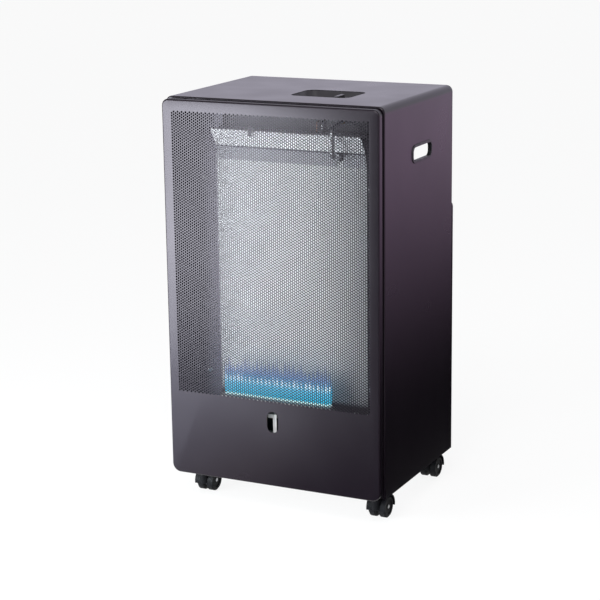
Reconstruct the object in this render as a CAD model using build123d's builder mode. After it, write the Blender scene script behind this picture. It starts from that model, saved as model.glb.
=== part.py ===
"""Portable gas cabinet heater.

A sheet-steel cabinet on four twin-wheel casters. A blue-flame bar burner stands in a reflector
chamber behind a perforated front, and a gas bottle stands in the bay behind the chamber, closed
by a pull-off rear cover. The knob and the igniter button sit in a sunken tray in the top.

Millimetres, +X right seen from the front, the front faces -Y, +Z up. The origin is on the floor
under the middle of the whole heater.
"""
from build123d import *
import os

os.makedirs("parts", exist_ok=True)

# Cabinet
cabinet_width = 420.0
cabinet_height = 690.0
side_depth = 328.0
cover_depth = 88.0
floor_gap = 56.0
sheet = 1.0
inner_sheet = 0.8
fit_gap = 0.3
bend_radius = 12.0
edge_radius = 2.5
lip_width = 16.0

# Pan-head screws, as head radius, shank radius and length under the head
panel_screw = (4.0, 1.9, 8.0)
reflector_screw = (4.5, 1.6, 6.0)
valve_screw = (3.4, 1.9, 9.0)
screw_hole_gap = 0.3

# Front panel
panel_side_inset = 2.0
panel_top_inset = 3.0
panel_depth = 14.0
panel_gap = 4.0
panel_return = 9.0
panel_top_radius = 12.0
panel_bottom_radius = 16.0
panel_edge_radius = 4.0
panel_mouth_corner = 8.0
panel_low_tab = 60.0
panel_high_tab_drop = 90.0
panel_tab_length = 20.0
panel_tab_reach = 12.0
lug_inset = 80.0
lug_width = 30.0
lug_reach = 24.0

# Perforated field: each opening stands for a block of the real 3 mm holes
grille_side_margin = 19.5
grille_top_margin = 21.0
grille_bottom = 159.0
cell_radius = 11.0
cell_pitch_x = 28.5
cell_pitch_z = 33.0

# Viewing slot for the pilot flame
view_slot_width = 22.0
view_slot_height = 39.0
view_slot_centre = 120.0

# Side handles
handle_behind_middle = 18.0
handle_drop = 99.0
grip_length = 82.0
grip_opening = 24.0
grip_corner = 9.0
grip_wall = 2.0
grip_rim_lap = 4.5
grip_rim_thickness = 1.5
grip_rim_round = 1.1
grip_reach = 6.0

# Control tray in the top
tray_centre_x = 50.0
tray_centre_depth = 139.0
tray_length = 115.0
tray_width = 86.0
tray_corner = 16.0
tray_floor_length = 86.0
tray_floor_width = 58.0
tray_floor_corner = 10.0
tray_recess = 25.0
tray_flange = 8.0

# Knob, spindle and valve
knob_offset = 21.0
knob_radius = 20.0
knob_height = 10.0
knob_wall = 2.5
knob_edge_round = 1.5
knob_grip_length = 35.0
knob_grip_width = 8.0
knob_grip_height = 9.0
knob_grip_round = 1.2
knob_boss_wall = 1.5
knob_bore_gap = 0.02
knob_lift = 4.5
push_travel = 4.0
spindle_radius = 3.0
spindle_flat = 1.5
spindle_reach = 4.0
collar_radius = 4.5
plunger_radius = 5.0
plunger_length = 16.0
plunger_end_gap = 1.0
spindle_tail = 3.0
spindle_end_gap = 2.0
bonnet_radius = 9.0
bonnet_rise = 3.0
valve_length = 56.0
valve_width = 40.0
valve_height = 40.0
valve_corner = 5.0
valve_edge_round = 3.0
valve_screw_offset = 13.2
running_gap = 0.05

# Igniter
button_offset = -33.0
button_length = 32.0
button_width = 13.0
button_proud = 1.0
button_end_gap = 0.5
button_edge_round = 1.5
button_seat = 8.0
button_travel = 5.0
igniter_bezel = 3.0
igniter_bezel_thickness = 3.0
igniter_bezel_lap = 1.0
igniter_bezel_round = 1.0
igniter_body_corner = 2.0
igniter_depth = 45.0

# Burner chamber
chamber_depth = 85.0
shield_gap = 11.0
reflector_inset = 63.0
reflector_drop = 108.0
chamber_floor_height = 72.0
floor_flange = 12.0
wall_flange = 14.0
wall_top_gap = 4.0
splay_gap = 1.5
splay_lap = 2.0
flange_seat_gap = 0.2
deflector_inset = 1.0
deflector_lap = 10.0
deflector_strip = 14.0
deflector_rise = 33.0
deflector_front = 62.0
deflector_fold = 3.0
deflector_notch_height = 25.0
deflector_notch_rise = 2.5
deflector_notch_gap = 2.0
deflector_cut_depth = 16.0
hook_centre_x = -65.0
hook_width = 6.0
hook_reach = 5.0
hook_rise = 6.0
hook_drop = 9.0
heat_shield_drop = 14.0
heat_shield_flange = 15.0
low_screw_height = 181.0
high_screw_drop = 44.0
side_screw_share = 0.28
air_slot_length = 28.0
air_slot_width = 6.0
air_slot_pitch = 38.0
air_slot_count = 6

# Burner
burner_left_gap = 25.5
burner_right_gap = 47.5
burner_centre_depth = 40.0
burner_width = 24.0
burner_height = 34.0
burner_top = 150.0
burner_shoulder = 5.0
burner_keel = 10.0
port_pitch = 8.0
port_width = 2.4
port_length = 9.0
port_end_margin = 6.0
burner_wall = 1.0
venturi_length = 46.0
venturi_throat = 7.5
venturi_mouth = 11.0
venturi_waist = 0.42
venturi_flare = 2.5
injector_gap = 4.0
injector_hex = 14.0
injector_length = 16.0
injector_nose_radius = 4.0
injector_nose_reach = 2.0
injector_nose_taper = 12.0
bracket_width = 20.0
bracket_sheet = 1.5
bracket_lap = 16.0
bracket_inset = 20.0
injector_foot = 6.0
injector_bracket_rise = 10.0

# Pilot
pilot_depth = 22.0
pilot_strip_x = -5.5
pilot_strip_width = 7.0
pilot_strip_top = 128.0
pilot_hook_reach = 10.0
pilot_hook_height = 7.0
pilot_shelf_height = 95.0
pilot_shelf_width = 8.0
pilot_shelf_overhang = 6.0
pilot_shank_radius = 2.6
pilot_shank_gap = 0.1
pilot_tail = 12.0
pilot_positions = (4.0, 14.0, 24.0)

# Pipes and leads
main_pipe_radius = 4.0
main_pipe_depth = 50.0
main_pipe_step = 6.0
main_pipe_dip = 5.0
main_pipe_entry = 9.0
pilot_pipe_radius = 2.0
lead_radius = 1.5
pipe_hole_gap = 1.0
main_pipe_hole_length = 6.0
main_pipe_hole_height = 11.0
outlet_run = 8.0
pipe_bend = 12.0
thin_bend = 8.0
low_run = 50.0
low_run_step = 8.0
lead_hole_drop = 44.0
hose_nozzle_radius = 4.0
hose_nozzle_bore = 2.5
hose_nozzle_length = 28.0
hose_nozzle_blind = 8.0
hose_nozzle_hex = 14.0
hose_nozzle_hex_length = 7.0
hose_nozzle_groove = (10.0, 12.0, 0.7)
hose_nozzle_drop = 29.0
main_outlet_offset = 21.0
pilot_outlet_offset = -11.0
lead_outlet_offset = -21.0
outlet_drop = 14.0
outlet_length = 5.0
outlet_wall = 2.5
thin_outlet_wall = 2.0

# Base
tray_raise = 2.0
tray_skirt = 20.0
bottle_gap_inset = 40.0
vent_length = 44.0
vent_width = 7.0
vent_pitch_x = 66.0
vent_pitch_y = 22.4
vent_columns = 4
rear_vent_setback = 114.0
rear_vent_rows = 5
front_vent_depth = 74.0
front_vent_rows = 2

# Rear cover
cover_height = 478.0
cover_rim = 4.0
cover_base_inset = 18.0
cover_back_inset = 58.0
cover_base_drop = 12.0
cover_back_drop = 38.0
cover_corner = 20.0
cover_foot_corner = 8.0
cover_low_tab = 40.0
cover_high_tab_drop = 48.0
cover_tab_length = 18.0
cover_tab_reach = 8.0
cover_vent_length = 150.0
cover_vent_width = 7.0
cover_vent_pitch = 16.8
cover_vent_rows = 5
cover_low_vent = 75.0
cover_high_vent_drop = 103.0

# Casters
stem_inset = 35.0
stem_front_depth = 58.0
stem_rear_setback = 32.0
wheel_radius = 20.0
wheel_width = 13.5
wheel_tread_round = 1.5
wheel_rim_step = 3.0
wheel_rim_width = 2.5
wheel_dish_radius = 14.0
wheel_dish_depth = 2.0
caster_trail = 20.0
web_half = 2.8
wheel_side_gap = 0.5
fender_gap = 0.8
fender_thickness = 2.2
fender_overhang = 0.9
fender_drop = 3.0
hub_radius = 7.0
axle_radius = 2.0
axle_cap_radius = 3.4
axle_cap_length = 1.0
axle_cap_gap = 0.1
stem_radius = 4.0
stem_depth = 26.0
stem_rise = 24.0
socket_radius = 6.0
socket_length = 26.0
socket_flange = 1.5
socket_flange_lap = 4.0
boss_radius = 8.0

# Planes and levels worked out from the sizes above
front_y = -(side_depth + cover_depth) / 2
base_z = floor_gap
top_z = base_z + cabinet_height
half_width = cabinet_width / 2
inside_half = half_width - sheet
knob_x = tray_centre_x + knob_offset
button_x = tray_centre_x + button_offset
lug_spacing = cabinet_width - 2 * lug_inset
panel_tab_high = cabinet_height - panel_high_tab_drop
panel_tab_heights = (panel_low_tab, (panel_low_tab + panel_tab_high) / 2, panel_tab_high)
handle_height = cabinet_height - handle_drop
handle_centre_depth = side_depth / 2 + handle_behind_middle


def depth(distance):
    """Y of a plane that lies this far behind the front panel's face."""
    return front_y + distance


def height(distance):
    """Z of a level that lies this far above the cabinet's bottom edge."""
    return base_z + distance


def front_view(y):
    """Sketch plane seen from the front at this Y; extrusions come towards the viewer."""
    return Plane((0, y, 0), x_dir=(1, 0, 0), z_dir=(0, -1, 0))


def side_view(x):
    """Sketch plane seen from the right at this X, with Y across and Z up."""
    return Plane((x, 0, 0), x_dir=(0, 1, 0), z_dir=(1, 0, 0))


def folded_sheet(points, thickness):
    """Section of a sheet folded along these points; a positive thickness lies on their left."""
    runs = [(Vector(*end) - Vector(*start)).normalized() for start, end in zip(points, points[1:])]
    normals = [Vector(-run.Y, run.X) for run in runs]
    far_side = []
    for index, point in enumerate(points):
        before = normals[max(index - 1, 0)]
        after = normals[min(index, len(normals) - 1)]
        middle = (before + after).normalized()
        far_side.append(Vector(*point) + middle * (thickness / middle.dot(before)))
    with BuildSketch() as section:
        with BuildLine():
            Polyline(*points, *reversed(far_side), close=True)
        make_face()
    return section.sketch


def save(piece, name):
    """Label a finished piece and write its STEP file."""
    piece.part.label = name
    export_step(piece.part, f"parts/{name}.step")


reflector_half_width = half_width - reflector_inset
reflector_top = cabinet_height - reflector_drop
deflector_half_width = reflector_half_width - deflector_inset
deflector_seam = reflector_top + deflector_strip
deflector_top = deflector_seam + deflector_rise
heat_shield_height = cabinet_height - heat_shield_drop
side_reflector_top = heat_shield_height - wall_top_gap
side_screw_heights = (low_screw_height, reflector_top - high_screw_drop)
burner_left = burner_left_gap - reflector_half_width
burner_right = reflector_half_width - burner_right_gap
burner_length = burner_right - burner_left
burner_centre_x = (burner_left + burner_right) / 2
valve_top_height = cabinet_height - tray_recess - sheet
outlet_height = valve_top_height - outlet_drop
hose_nozzle_height = valve_top_height - hose_nozzle_drop
main_outlet_x = knob_x + main_outlet_offset
pilot_outlet_x = knob_x + pilot_outlet_offset
lead_outlet_x = knob_x + lead_outlet_offset
main_pipe_x = main_outlet_x + main_pipe_step
main_pipe_top = outlet_height - main_pipe_dip
main_pipe_return = reflector_top + main_pipe_entry
lead_hole_height = deflector_top - lead_hole_drop
shell_front_y = depth(panel_depth + panel_gap)
shell_back_y = depth(side_depth)
panel_back_y = depth(panel_depth)
partition_depth = chamber_depth + inner_sheet + shield_gap
floor_top = chamber_floor_height + inner_sheet
pipe_gap_depth = chamber_depth + inner_sheet + shield_gap / 2
tray_rim_z = top_z - sheet
tray_floor_z = top_z - tray_recess
tray_under_z = tray_floor_z - sheet
tray_y = depth(tray_centre_depth)
handle_y = depth(handle_centre_depth)
panel_half = half_width - panel_side_inset
panel_top_z = top_z - panel_top_inset
panel_tab_x = panel_half - panel_return + sheet / 2
cover_front_y = shell_back_y + fit_gap
cover_back_y = depth(side_depth + cover_depth)
cover_tab_x = half_width - lip_width / 2
cover_tab_heights = (cover_low_tab, cover_height - cover_high_tab_drop)
cover_base_half = half_width - cover_base_inset
cover_back_half = half_width - cover_back_inset
cover_base_top = cover_height - cover_base_drop
cover_back_top = cover_height - cover_back_drop
stem_x = half_width - stem_inset
stem_rear_depth = side_depth - stem_rear_setback
stem_places = {
    "front_left": (-stem_x, depth(stem_front_depth)),
    "front_right": (stem_x, depth(stem_front_depth)),
    "rear_left": (-stem_x, depth(stem_rear_depth)),
    "rear_right": (stem_x, depth(stem_rear_depth)),
}


# ---------------------------------------------------------------- control tray and its hollow
def tray_loft(grow, rim_z, floor_z):
    """Sloping-walled tray form, grown outwards from the tray's inside by this much."""
    with BuildPart() as form:
        with BuildSketch(Plane.XY.offset(rim_z)):
            with Locations((tray_centre_x, tray_y)):
                RectangleRounded(tray_length + 2 * grow, tray_width + 2 * grow, tray_corner + grow)
        with BuildSketch(Plane.XY.offset(floor_z)):
            with Locations((tray_centre_x, tray_y)):
                RectangleRounded(
                    tray_floor_length + 2 * grow, tray_floor_width + 2 * grow, tray_floor_corner + grow
                )
        loft()
    return form.part


tray_hollow = tray_loft(0, tray_rim_z, tray_floor_z)
igniter_hole_lap = igniter_bezel - igniter_bezel_lap

with BuildPart() as control_tray:
    with BuildSketch(Plane.XY.offset(tray_rim_z - inner_sheet)):
        with Locations((tray_centre_x, tray_y)):
            RectangleRounded(
                tray_length + 2 * tray_flange, tray_width + 2 * tray_flange, tray_corner + tray_flange
            )
    extrude(amount=inner_sheet)
    add(tray_loft(sheet, tray_rim_z, tray_under_z))
    add(tray_hollow, mode=Mode.SUBTRACT)
    # bonnet, igniter and valve screw holes in the floor
    with BuildSketch(Plane.XY.offset(tray_under_z)):
        with Locations((knob_x, tray_y)):
            Circle(bonnet_radius + fit_gap)
            with Locations((-valve_screw_offset, 0), (valve_screw_offset, 0)):
                Circle(valve_screw[1] + screw_hole_gap)
        with Locations((button_x, tray_y)):
            Rectangle(button_width + 2 * igniter_hole_lap, button_length + 2 * igniter_hole_lap)
    extrude(amount=2 * sheet, mode=Mode.SUBTRACT)
save(control_tray, "control_tray")

# ---------------------------------------------------------------- cabinet shell
shell_length = shell_back_y - shell_front_y


def wrap_form(inset, bottom):
    """Rounded-top cabinet block, smaller than the outside by inset, open downwards to bottom."""
    with BuildPart() as form:
        with BuildSketch(front_view(shell_back_y - inset)) as outline:
            with Locations((0, (bottom + top_z - inset) / 2)):
                Rectangle(cabinet_width - 2 * inset, top_z - inset - bottom)
            fillet(outline.vertices().group_by(Axis.Y)[-1], bend_radius - inset)
        extrude(amount=shell_length - 2 * inset)
        rim_edges = [
            edge
            for face in (form.faces().sort_by(Axis.Y)[0], form.faces().sort_by(Axis.Y)[-1])
            for edge in face.edges().filter_by(lambda e: e.center().Z > bottom + 1)
        ]
        fillet(rim_edges, edge_radius - inset)
    return form.part


def grip_outline(grow):
    """Round-cornered outline of the hand opening, larger all round by grow."""
    with BuildSketch() as outline:
        RectangleRounded(grip_length + 2 * grow, grip_opening + 2 * grow, grip_corner + grow)
    return outline.sketch


with BuildPart() as cabinet_shell:
    add(wrap_form(0, base_z))
    add(wrap_form(sheet, base_z - 10), mode=Mode.SUBTRACT)
    # front and rear apertures leave a lip down each side and across the top
    with BuildSketch(front_view(shell_back_y + 1)) as aperture:
        aperture_top = top_z - lip_width
        with Locations((0, (base_z - 5 + aperture_top) / 2)):
            Rectangle(cabinet_width - 2 * lip_width, aperture_top - base_z + 5)
        fillet(aperture.vertices().group_by(Axis.Y)[-1], bend_radius / 2)
    extrude(amount=shell_length + 2, mode=Mode.SUBTRACT)
    # handle openings through both sides
    with BuildSketch(side_view(-half_width - 1)):
        with Locations((handle_y, height(handle_height))):
            add(grip_outline(grip_wall + fit_gap))
    extrude(amount=cabinet_width + 2, mode=Mode.SUBTRACT)
    # opening over the control tray
    with BuildSketch(Plane.XY.offset(top_z - 2 * sheet)):
        with Locations((tray_centre_x, tray_y)):
            RectangleRounded(tray_length, tray_width, tray_corner)
    extrude(amount=3 * sheet, mode=Mode.SUBTRACT)
    # slots for the front panel's tabs in the front lip
    with BuildSketch(front_view(shell_front_y + 2 * sheet)):
        with Locations(
            *[(side * panel_tab_x, height(h)) for side in (-1, 1) for h in panel_tab_heights]
        ):
            Rectangle(sheet + 2 * fit_gap, panel_tab_length + 2 * fit_gap)
    extrude(amount=3 * sheet, mode=Mode.SUBTRACT)
    # slots for the rear cover's tabs in the rear lip
    with BuildSketch(front_view(shell_back_y + sheet)):
        with Locations(
            *[(side * cover_tab_x, height(h)) for side in (-1, 1) for h in cover_tab_heights]
        ):
            Rectangle(sheet + 2 * fit_gap, cover_tab_length + 2 * fit_gap)
    extrude(amount=3 * sheet, mode=Mode.SUBTRACT)
save(cabinet_shell, "cabinet_shell")


# ---------------------------------------------------------------- front panel
def panel_form(inset, back_y):
    """Front panel block with its rolled front edge, smaller than the outside by inset."""
    with BuildPart() as form:
        with BuildSketch(front_view(back_y)) as outline:
            with Locations((0, (base_z + panel_top_z) / 2)):
                Rectangle(2 * (panel_half - inset), panel_top_z - base_z - 2 * inset)
            fillet(outline.vertices().group_by(Axis.Y)[-1], panel_top_radius - inset)
            fillet(outline.vertices().group_by(Axis.Y)[0], panel_bottom_radius - inset)
        extrude(amount=back_y - front_y - inset)
        fillet(form.faces().sort_by(Axis.Y)[0].edges(), panel_edge_radius - inset)
    return form.part


grille_half = panel_half - grille_side_margin
grille_bottom_z = height(grille_bottom)
grille_top_z = panel_top_z - grille_top_margin
column_count = int((2 * grille_half - 2 * cell_radius) // cell_pitch_x) + 1
row_count = int((grille_top_z - grille_bottom_z - 2 * cell_radius) // cell_pitch_z) + 1
column_start = -(column_count - 1) * cell_pitch_x / 2
row_start = (grille_bottom_z + grille_top_z - (row_count - 1) * cell_pitch_z) / 2
cell_centres = [
    (column_start + column * cell_pitch_x, row_start + row * cell_pitch_z + shift)
    for column in range(column_count)
    for shift in [cell_pitch_z / 2 * (column % 2)]
    for row in range(row_count - column % 2)
]

with BuildPart() as front_panel:
    add(panel_form(0, panel_back_y))
    add(panel_form(sheet, panel_back_y - sheet), mode=Mode.SUBTRACT)
    # the back stays open inside a narrow return
    with BuildSketch(front_view(panel_back_y + 1)) as mouth:
        with Locations((0, (base_z + panel_top_z) / 2)):
            RectangleRounded(
                2 * (panel_half - panel_return), panel_top_z - base_z - 2 * panel_return,
                panel_mouth_corner,
            )
    extrude(amount=2 * sheet + 1, mode=Mode.SUBTRACT)
    # tabs that hook through the cabinet's front lip
    with BuildSketch(front_view(panel_back_y + panel_tab_reach)):
        with Locations(
            *[(side * panel_tab_x, height(h)) for side in (-1, 1) for h in panel_tab_heights]
        ):
            Rectangle(sheet, panel_tab_length)
    extrude(amount=panel_tab_reach + sheet)
    # lugs that screw up into the base tray
    with BuildSketch(Plane.XY.offset(base_z + sheet)):
        with Locations(
            (-lug_spacing / 2, panel_back_y + lug_reach / 2 - sheet),
            (lug_spacing / 2, panel_back_y + lug_reach / 2 - sheet),
        ):
            Rectangle(lug_width, lug_reach)
    extrude(amount=tray_raise - sheet)
    with BuildSketch(Plane.XY.offset(base_z)):
        with Locations(
            (-lug_spacing / 2, panel_back_y + lug_reach / 2),
            (lug_spacing / 2, panel_back_y + lug_reach / 2),
        ):
            Circle(panel_screw[1] + screw_hole_gap)
    extrude(amount=2 * tray_raise, mode=Mode.SUBTRACT)
    # perforated field and viewing slot
    with BuildSketch(front_view(front_y + 2 * sheet)):
        with Locations(*cell_centres):
            RegularPolygon(cell_radius, 6)
        with Locations((0, height(view_slot_centre))):
            SlotOverall(view_slot_height, view_slot_width, rotation=90)
    extrude(amount=3 * sheet, mode=Mode.SUBTRACT)
save(front_panel, "front_panel")


# ---------------------------------------------------------------- turned pieces and screws
def turned(place, direction, stations):
    """Turned piece along a direction from a place; stations are (distance, radius) pairs."""
    axis = Vector(*direction)
    radial = Vector(0, 0, 1) if abs(axis.Z) < 0.5 else Vector(1, 0, 0)
    outline = [(0, stations[0][0])]
    outline += [(radius, along) for along, radius in stations]
    outline += [(0, stations[-1][0])]
    with BuildPart() as piece:
        with BuildSketch(Plane(place, x_dir=radial, z_dir=radial.cross(axis))):
            with BuildLine():
                Polyline(*outline, close=True)
            make_face()
        revolve(axis=Axis(place, direction))
    return piece.part


def pan_screw(place, direction, sizes):
    """Pan-head screw; place is under the head and direction is the way the head points."""
    head_radius, shank_radius, length = sizes
    head = 0.6 * head_radius
    stations = [(-length, shank_radius), (0, shank_radius), (0, head_radius)]
    stations += [(0.5 * head, head_radius), (head, 0.7 * head_radius)]
    return turned(place, direction, stations)


with BuildPart() as panel_screws:
    for side in (-1, 1):
        add(
            pan_screw(
                (side * lug_spacing / 2, panel_back_y + lug_reach / 2, base_z + sheet),
                (0, 0, -1), panel_screw,
            )
        )
save(panel_screws, "panel_screws")

# ---------------------------------------------------------------- base tray
tray_half = inside_half - fit_gap
tray_front = depth(panel_depth + panel_gap + sheet) + fit_gap
tray_back = shell_back_y - sheet - fit_gap
tray_bottom_z = base_z + tray_raise
with BuildPart() as base_tray:
    with BuildSketch(Plane.XY.offset(tray_bottom_z)):
        with Locations((0, (tray_front + tray_back) / 2)):
            RectangleRounded(2 * tray_half, tray_back - tray_front, edge_radius)
    extrude(amount=tray_skirt)
    with BuildSketch(Plane.XY.offset(tray_bottom_z + sheet)):
        with Locations((0, (tray_front + tray_back) / 2)):
            RectangleRounded(
                2 * (tray_half - sheet), tray_back - tray_front - 2 * sheet, edge_radius - sheet
            )
    extrude(amount=tray_skirt, mode=Mode.SUBTRACT)
    # the rear skirt is cut away where the bottle slides in
    with BuildSketch(Plane.XY.offset(tray_bottom_z + sheet)):
        with Locations((0, tray_back)):
            Rectangle(cabinet_width - 2 * bottle_gap_inset, 4 * sheet)
    extrude(amount=tray_skirt, mode=Mode.SUBTRACT)
    # vents that let leaked gas fall out, stem holes and screw holes
    with BuildSketch(Plane.XY.offset(tray_bottom_z)):
        with Locations((0, depth(side_depth - rear_vent_setback))):
            with GridLocations(vent_pitch_x, vent_pitch_y, vent_columns, rear_vent_rows):
                SlotOverall(vent_length, vent_width)
        with Locations((0, depth(front_vent_depth))):
            with GridLocations(vent_pitch_x, vent_pitch_y, vent_columns, front_vent_rows):
                SlotOverall(vent_length, vent_width)
        with Locations(*stem_places.values()):
            Circle(socket_radius)
        with Locations(
            (-lug_spacing / 2, panel_back_y + lug_reach / 2),
            (lug_spacing / 2, panel_back_y + lug_reach / 2),
        ):
            Circle(panel_screw[1] + screw_hole_gap)
    extrude(amount=sheet, mode=Mode.SUBTRACT)
save(base_tray, "base_tray")

# ---------------------------------------------------------------- rear partition
partition_y = depth(partition_depth)
partition_bottom = tray_bottom_z + sheet
partition_top = height(heat_shield_height) - inner_sheet
with BuildPart() as rear_partition:
    with BuildSketch(front_view(partition_y + sheet)):
        with Locations((0, (partition_bottom + partition_top) / 2)):
            Rectangle(2 * (inside_half - fit_gap - sheet), partition_top - partition_bottom)
    extrude(amount=floor_flange)
    with BuildSketch(front_view(partition_y)):
        with Locations((0, (partition_bottom + partition_top) / 2)):
            Rectangle(2 * (inside_half - fit_gap - 2 * sheet), partition_top - partition_bottom)
    extrude(amount=floor_flange, mode=Mode.SUBTRACT)
    # holes for the ignition lead, the two thin pipes and the main pipe
    with BuildSketch(front_view(partition_y + 2 * sheet)):
        with Locations((button_x, height(lead_hole_height)), (lead_outlet_x, height(outlet_height))):
            Circle(lead_radius + pipe_hole_gap)
        with Locations((pilot_outlet_x, height(outlet_height))):
            Circle(pilot_pipe_radius + pipe_hole_gap)
        with Locations(((main_outlet_x + main_pipe_x) / 2, height(outlet_height))):
            SlotOverall(2 * main_pipe_radius + main_pipe_hole_length, main_pipe_hole_height)
    extrude(amount=3 * sheet, mode=Mode.SUBTRACT)
save(rear_partition, "rear_partition")

# ---------------------------------------------------------------- burner chamber
lip_back = panel_depth + panel_gap + sheet
lip_seat = lip_back + flange_seat_gap
splay_back = reflector_half_width + splay_gap
splay_front = half_width - lip_width + splay_lap
floor_half = panel_tab_x - sheet
pipe_holes = [
    (main_pipe_x, pipe_gap_depth, main_pipe_radius),
    (pilot_outlet_x, pipe_gap_depth, pilot_pipe_radius),
    (lead_outlet_x, pipe_gap_depth, lead_radius),
    (button_x, pipe_gap_depth, lead_radius),
]
pilot_holes = [
    (pilot_positions[0], pilot_depth, pilot_pipe_radius),
    (pilot_positions[1], pilot_depth, lead_radius),
    (pilot_positions[2], pilot_depth, lead_radius),
]
injector_x = burner_right + venturi_length + injector_gap + injector_length / 2

with BuildPart() as chamber_floor:
    with BuildSketch(side_view(-floor_half)):
        add(
            folded_sheet(
                [
                    (depth(lip_seat), height(chamber_floor_height - floor_flange)),
                    (depth(lip_seat), height(floor_top)),
                    (partition_y, height(floor_top)),
                    (partition_y, height(chamber_floor_height - floor_flange)),
                ],
                -inner_sheet,
            )
        )
    extrude(amount=2 * floor_half)
    with BuildSketch(Plane.XY.offset(height(chamber_floor_height) - 1)):
        for hole_x, hole_depth, pipe_radius in pipe_holes + pilot_holes:
            with Locations((hole_x, depth(hole_depth))):
                Circle(pipe_radius + pipe_hole_gap)
        with Locations((injector_x, depth(burner_centre_depth))):
            Circle(main_pipe_radius + pipe_hole_gap)
        # air slots beside the burner
        with Locations((burner_centre_x, depth(burner_centre_depth + burner_width))):
            with GridLocations(air_slot_pitch, 1, air_slot_count, 1):
                SlotOverall(air_slot_length, air_slot_width)
    extrude(amount=inner_sheet + 2, mode=Mode.SUBTRACT)
save(chamber_floor, "chamber_floor")


def side_reflector(side):
    """Splayed side wall, flanged behind the back reflector and behind the front lip."""
    corners = [
        (reflector_half_width - wall_flange, chamber_depth + inner_sheet),
        (splay_back, chamber_depth + inner_sheet),
        (splay_front, lip_seat),
        (inside_half - splay_gap, lip_seat),
    ]
    with BuildPart() as wall:
        with BuildSketch(Plane.XY.offset(height(floor_top))):
            add(folded_sheet([(side * x, depth(d)) for x, d in corners], side * inner_sheet))
        extrude(amount=side_reflector_top - floor_top)
        for screw_height in side_screw_heights:
            with BuildSketch(side_screw_plane(side, screw_height)):
                Circle(reflector_screw[1] + screw_hole_gap / 3)
            extrude(amount=2, both=True, mode=Mode.SUBTRACT)
        # the front panel's tabs pass through this flange too
        with BuildSketch(front_view(depth(lip_seat + 2))):
            with Locations(*[(side * panel_tab_x, height(h)) for h in panel_tab_heights]):
                Rectangle(sheet + 2 * fit_gap, panel_tab_length + 2 * fit_gap)
        extrude(amount=4, mode=Mode.SUBTRACT)
    return wall


def side_screw_plane(side, screw_height):
    """Plane on a side reflector's inner face where a fixing screw seats, facing the chamber."""
    x = splay_back + side_screw_share * (splay_front - splay_back)
    d = chamber_depth + inner_sheet + side_screw_share * (lip_seat - chamber_depth - inner_sheet)
    run_x = splay_front - splay_back
    run_d = lip_seat - chamber_depth - inner_sheet
    return Plane(
        (side * x, depth(d), height(screw_height)),
        z_dir=(side * run_d, -run_x, 0),
    )


save(side_reflector(-1), "side_reflector_left")
save(side_reflector(1), "side_reflector_right")

with BuildPart() as reflector_screws:
    for side in (-1, 1):
        for screw_height in side_screw_heights:
            seat = side_screw_plane(side, screw_height)
            add(pan_screw(tuple(seat.origin), tuple(seat.z_dir), reflector_screw))
save(reflector_screws, "reflector_screws")

with BuildPart() as back_reflector:
    with BuildSketch(front_view(depth(chamber_depth + inner_sheet))):
        with Locations((0, height((floor_top + reflector_top) / 2))):
            Rectangle(2 * reflector_half_width, reflector_top - floor_top)
    extrude(amount=inner_sheet)
save(back_reflector, "back_reflector")

with BuildPart() as top_deflector:
    with BuildSketch(side_view(-deflector_half_width)):
        add(
            folded_sheet(
                [
                    (depth(chamber_depth - inner_sheet), height(reflector_top - deflector_lap)),
                    (depth(chamber_depth - inner_sheet), height(deflector_seam)),
                    (depth(chamber_depth - inner_sheet - deflector_fold), height(deflector_seam + 2)),
                    (depth(deflector_front), height(deflector_top)),
                    (partition_y - fit_gap, height(deflector_top)),
                ],
                -inner_sheet,
            )
        )
    extrude(amount=2 * deflector_half_width)
    # notch where the main pipe turns back, and holes for the thin pipes
    with BuildSketch(front_view(depth(chamber_depth + 1))):
        with Locations((main_pipe_x, height(reflector_top + deflector_notch_rise))):
            Rectangle(2 * (main_pipe_radius + deflector_notch_gap), deflector_notch_height)
    extrude(amount=4, mode=Mode.SUBTRACT)
    # rear corners cut back clear of the side reflectors' flanges
    with BuildSketch(Plane.XY.offset(height(deflector_top) - 2)):
        with Locations(
            (-reflector_half_width, depth(chamber_depth + deflector_cut_depth / 2)),
            (reflector_half_width, depth(chamber_depth + deflector_cut_depth / 2)),
        ):
            Rectangle(2 * wall_flange + 2, deflector_cut_depth)
    extrude(amount=4, mode=Mode.SUBTRACT)
    with BuildSketch(Plane.XY.offset(height(deflector_top) - 2)):
        for hole_x, hole_depth, pipe_radius in pipe_holes[1:3]:
            with Locations((hole_x, depth(hole_depth))):
                Circle(pipe_radius + pipe_hole_gap)
    extrude(amount=4, mode=Mode.SUBTRACT)
    # small hook on the front edge
    hook_back = depth(deflector_front + 1)
    hook_front = hook_back - hook_reach
    with BuildSketch(side_view(hook_centre_x - hook_width / 2)):
        add(
            folded_sheet(
                [
                    (hook_back, height(deflector_top - inner_sheet)),
                    (hook_back, height(deflector_top + hook_rise)),
                    (hook_front, height(deflector_top + hook_rise)),
                    (hook_front, height(deflector_top - hook_drop)),
                ],
                -inner_sheet,
            )
        )
    extrude(amount=hook_width)
save(top_deflector, "top_deflector")

shield_half = inside_half - flange_seat_gap
shield_front_depth = lip_back + splay_gap
with BuildPart() as top_heat_shield:
    with BuildSketch(front_view(partition_y)):
        add(
            folded_sheet(
                [
                    (-shield_half, height(heat_shield_height - heat_shield_flange)),
                    (-shield_half, height(heat_shield_height)),
                    (shield_half, height(heat_shield_height)),
                    (shield_half, height(heat_shield_height - heat_shield_flange)),
                ],
                -inner_sheet,
            )
        )
    extrude(amount=partition_depth - shield_front_depth)
save(top_heat_shield, "top_heat_shield")

# ---------------------------------------------------------------- burner
burner_y = depth(burner_centre_depth)
burner_mid = burner_top - burner_height / 2
port_count = int((burner_length - 2 * port_end_margin) // port_pitch)


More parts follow.
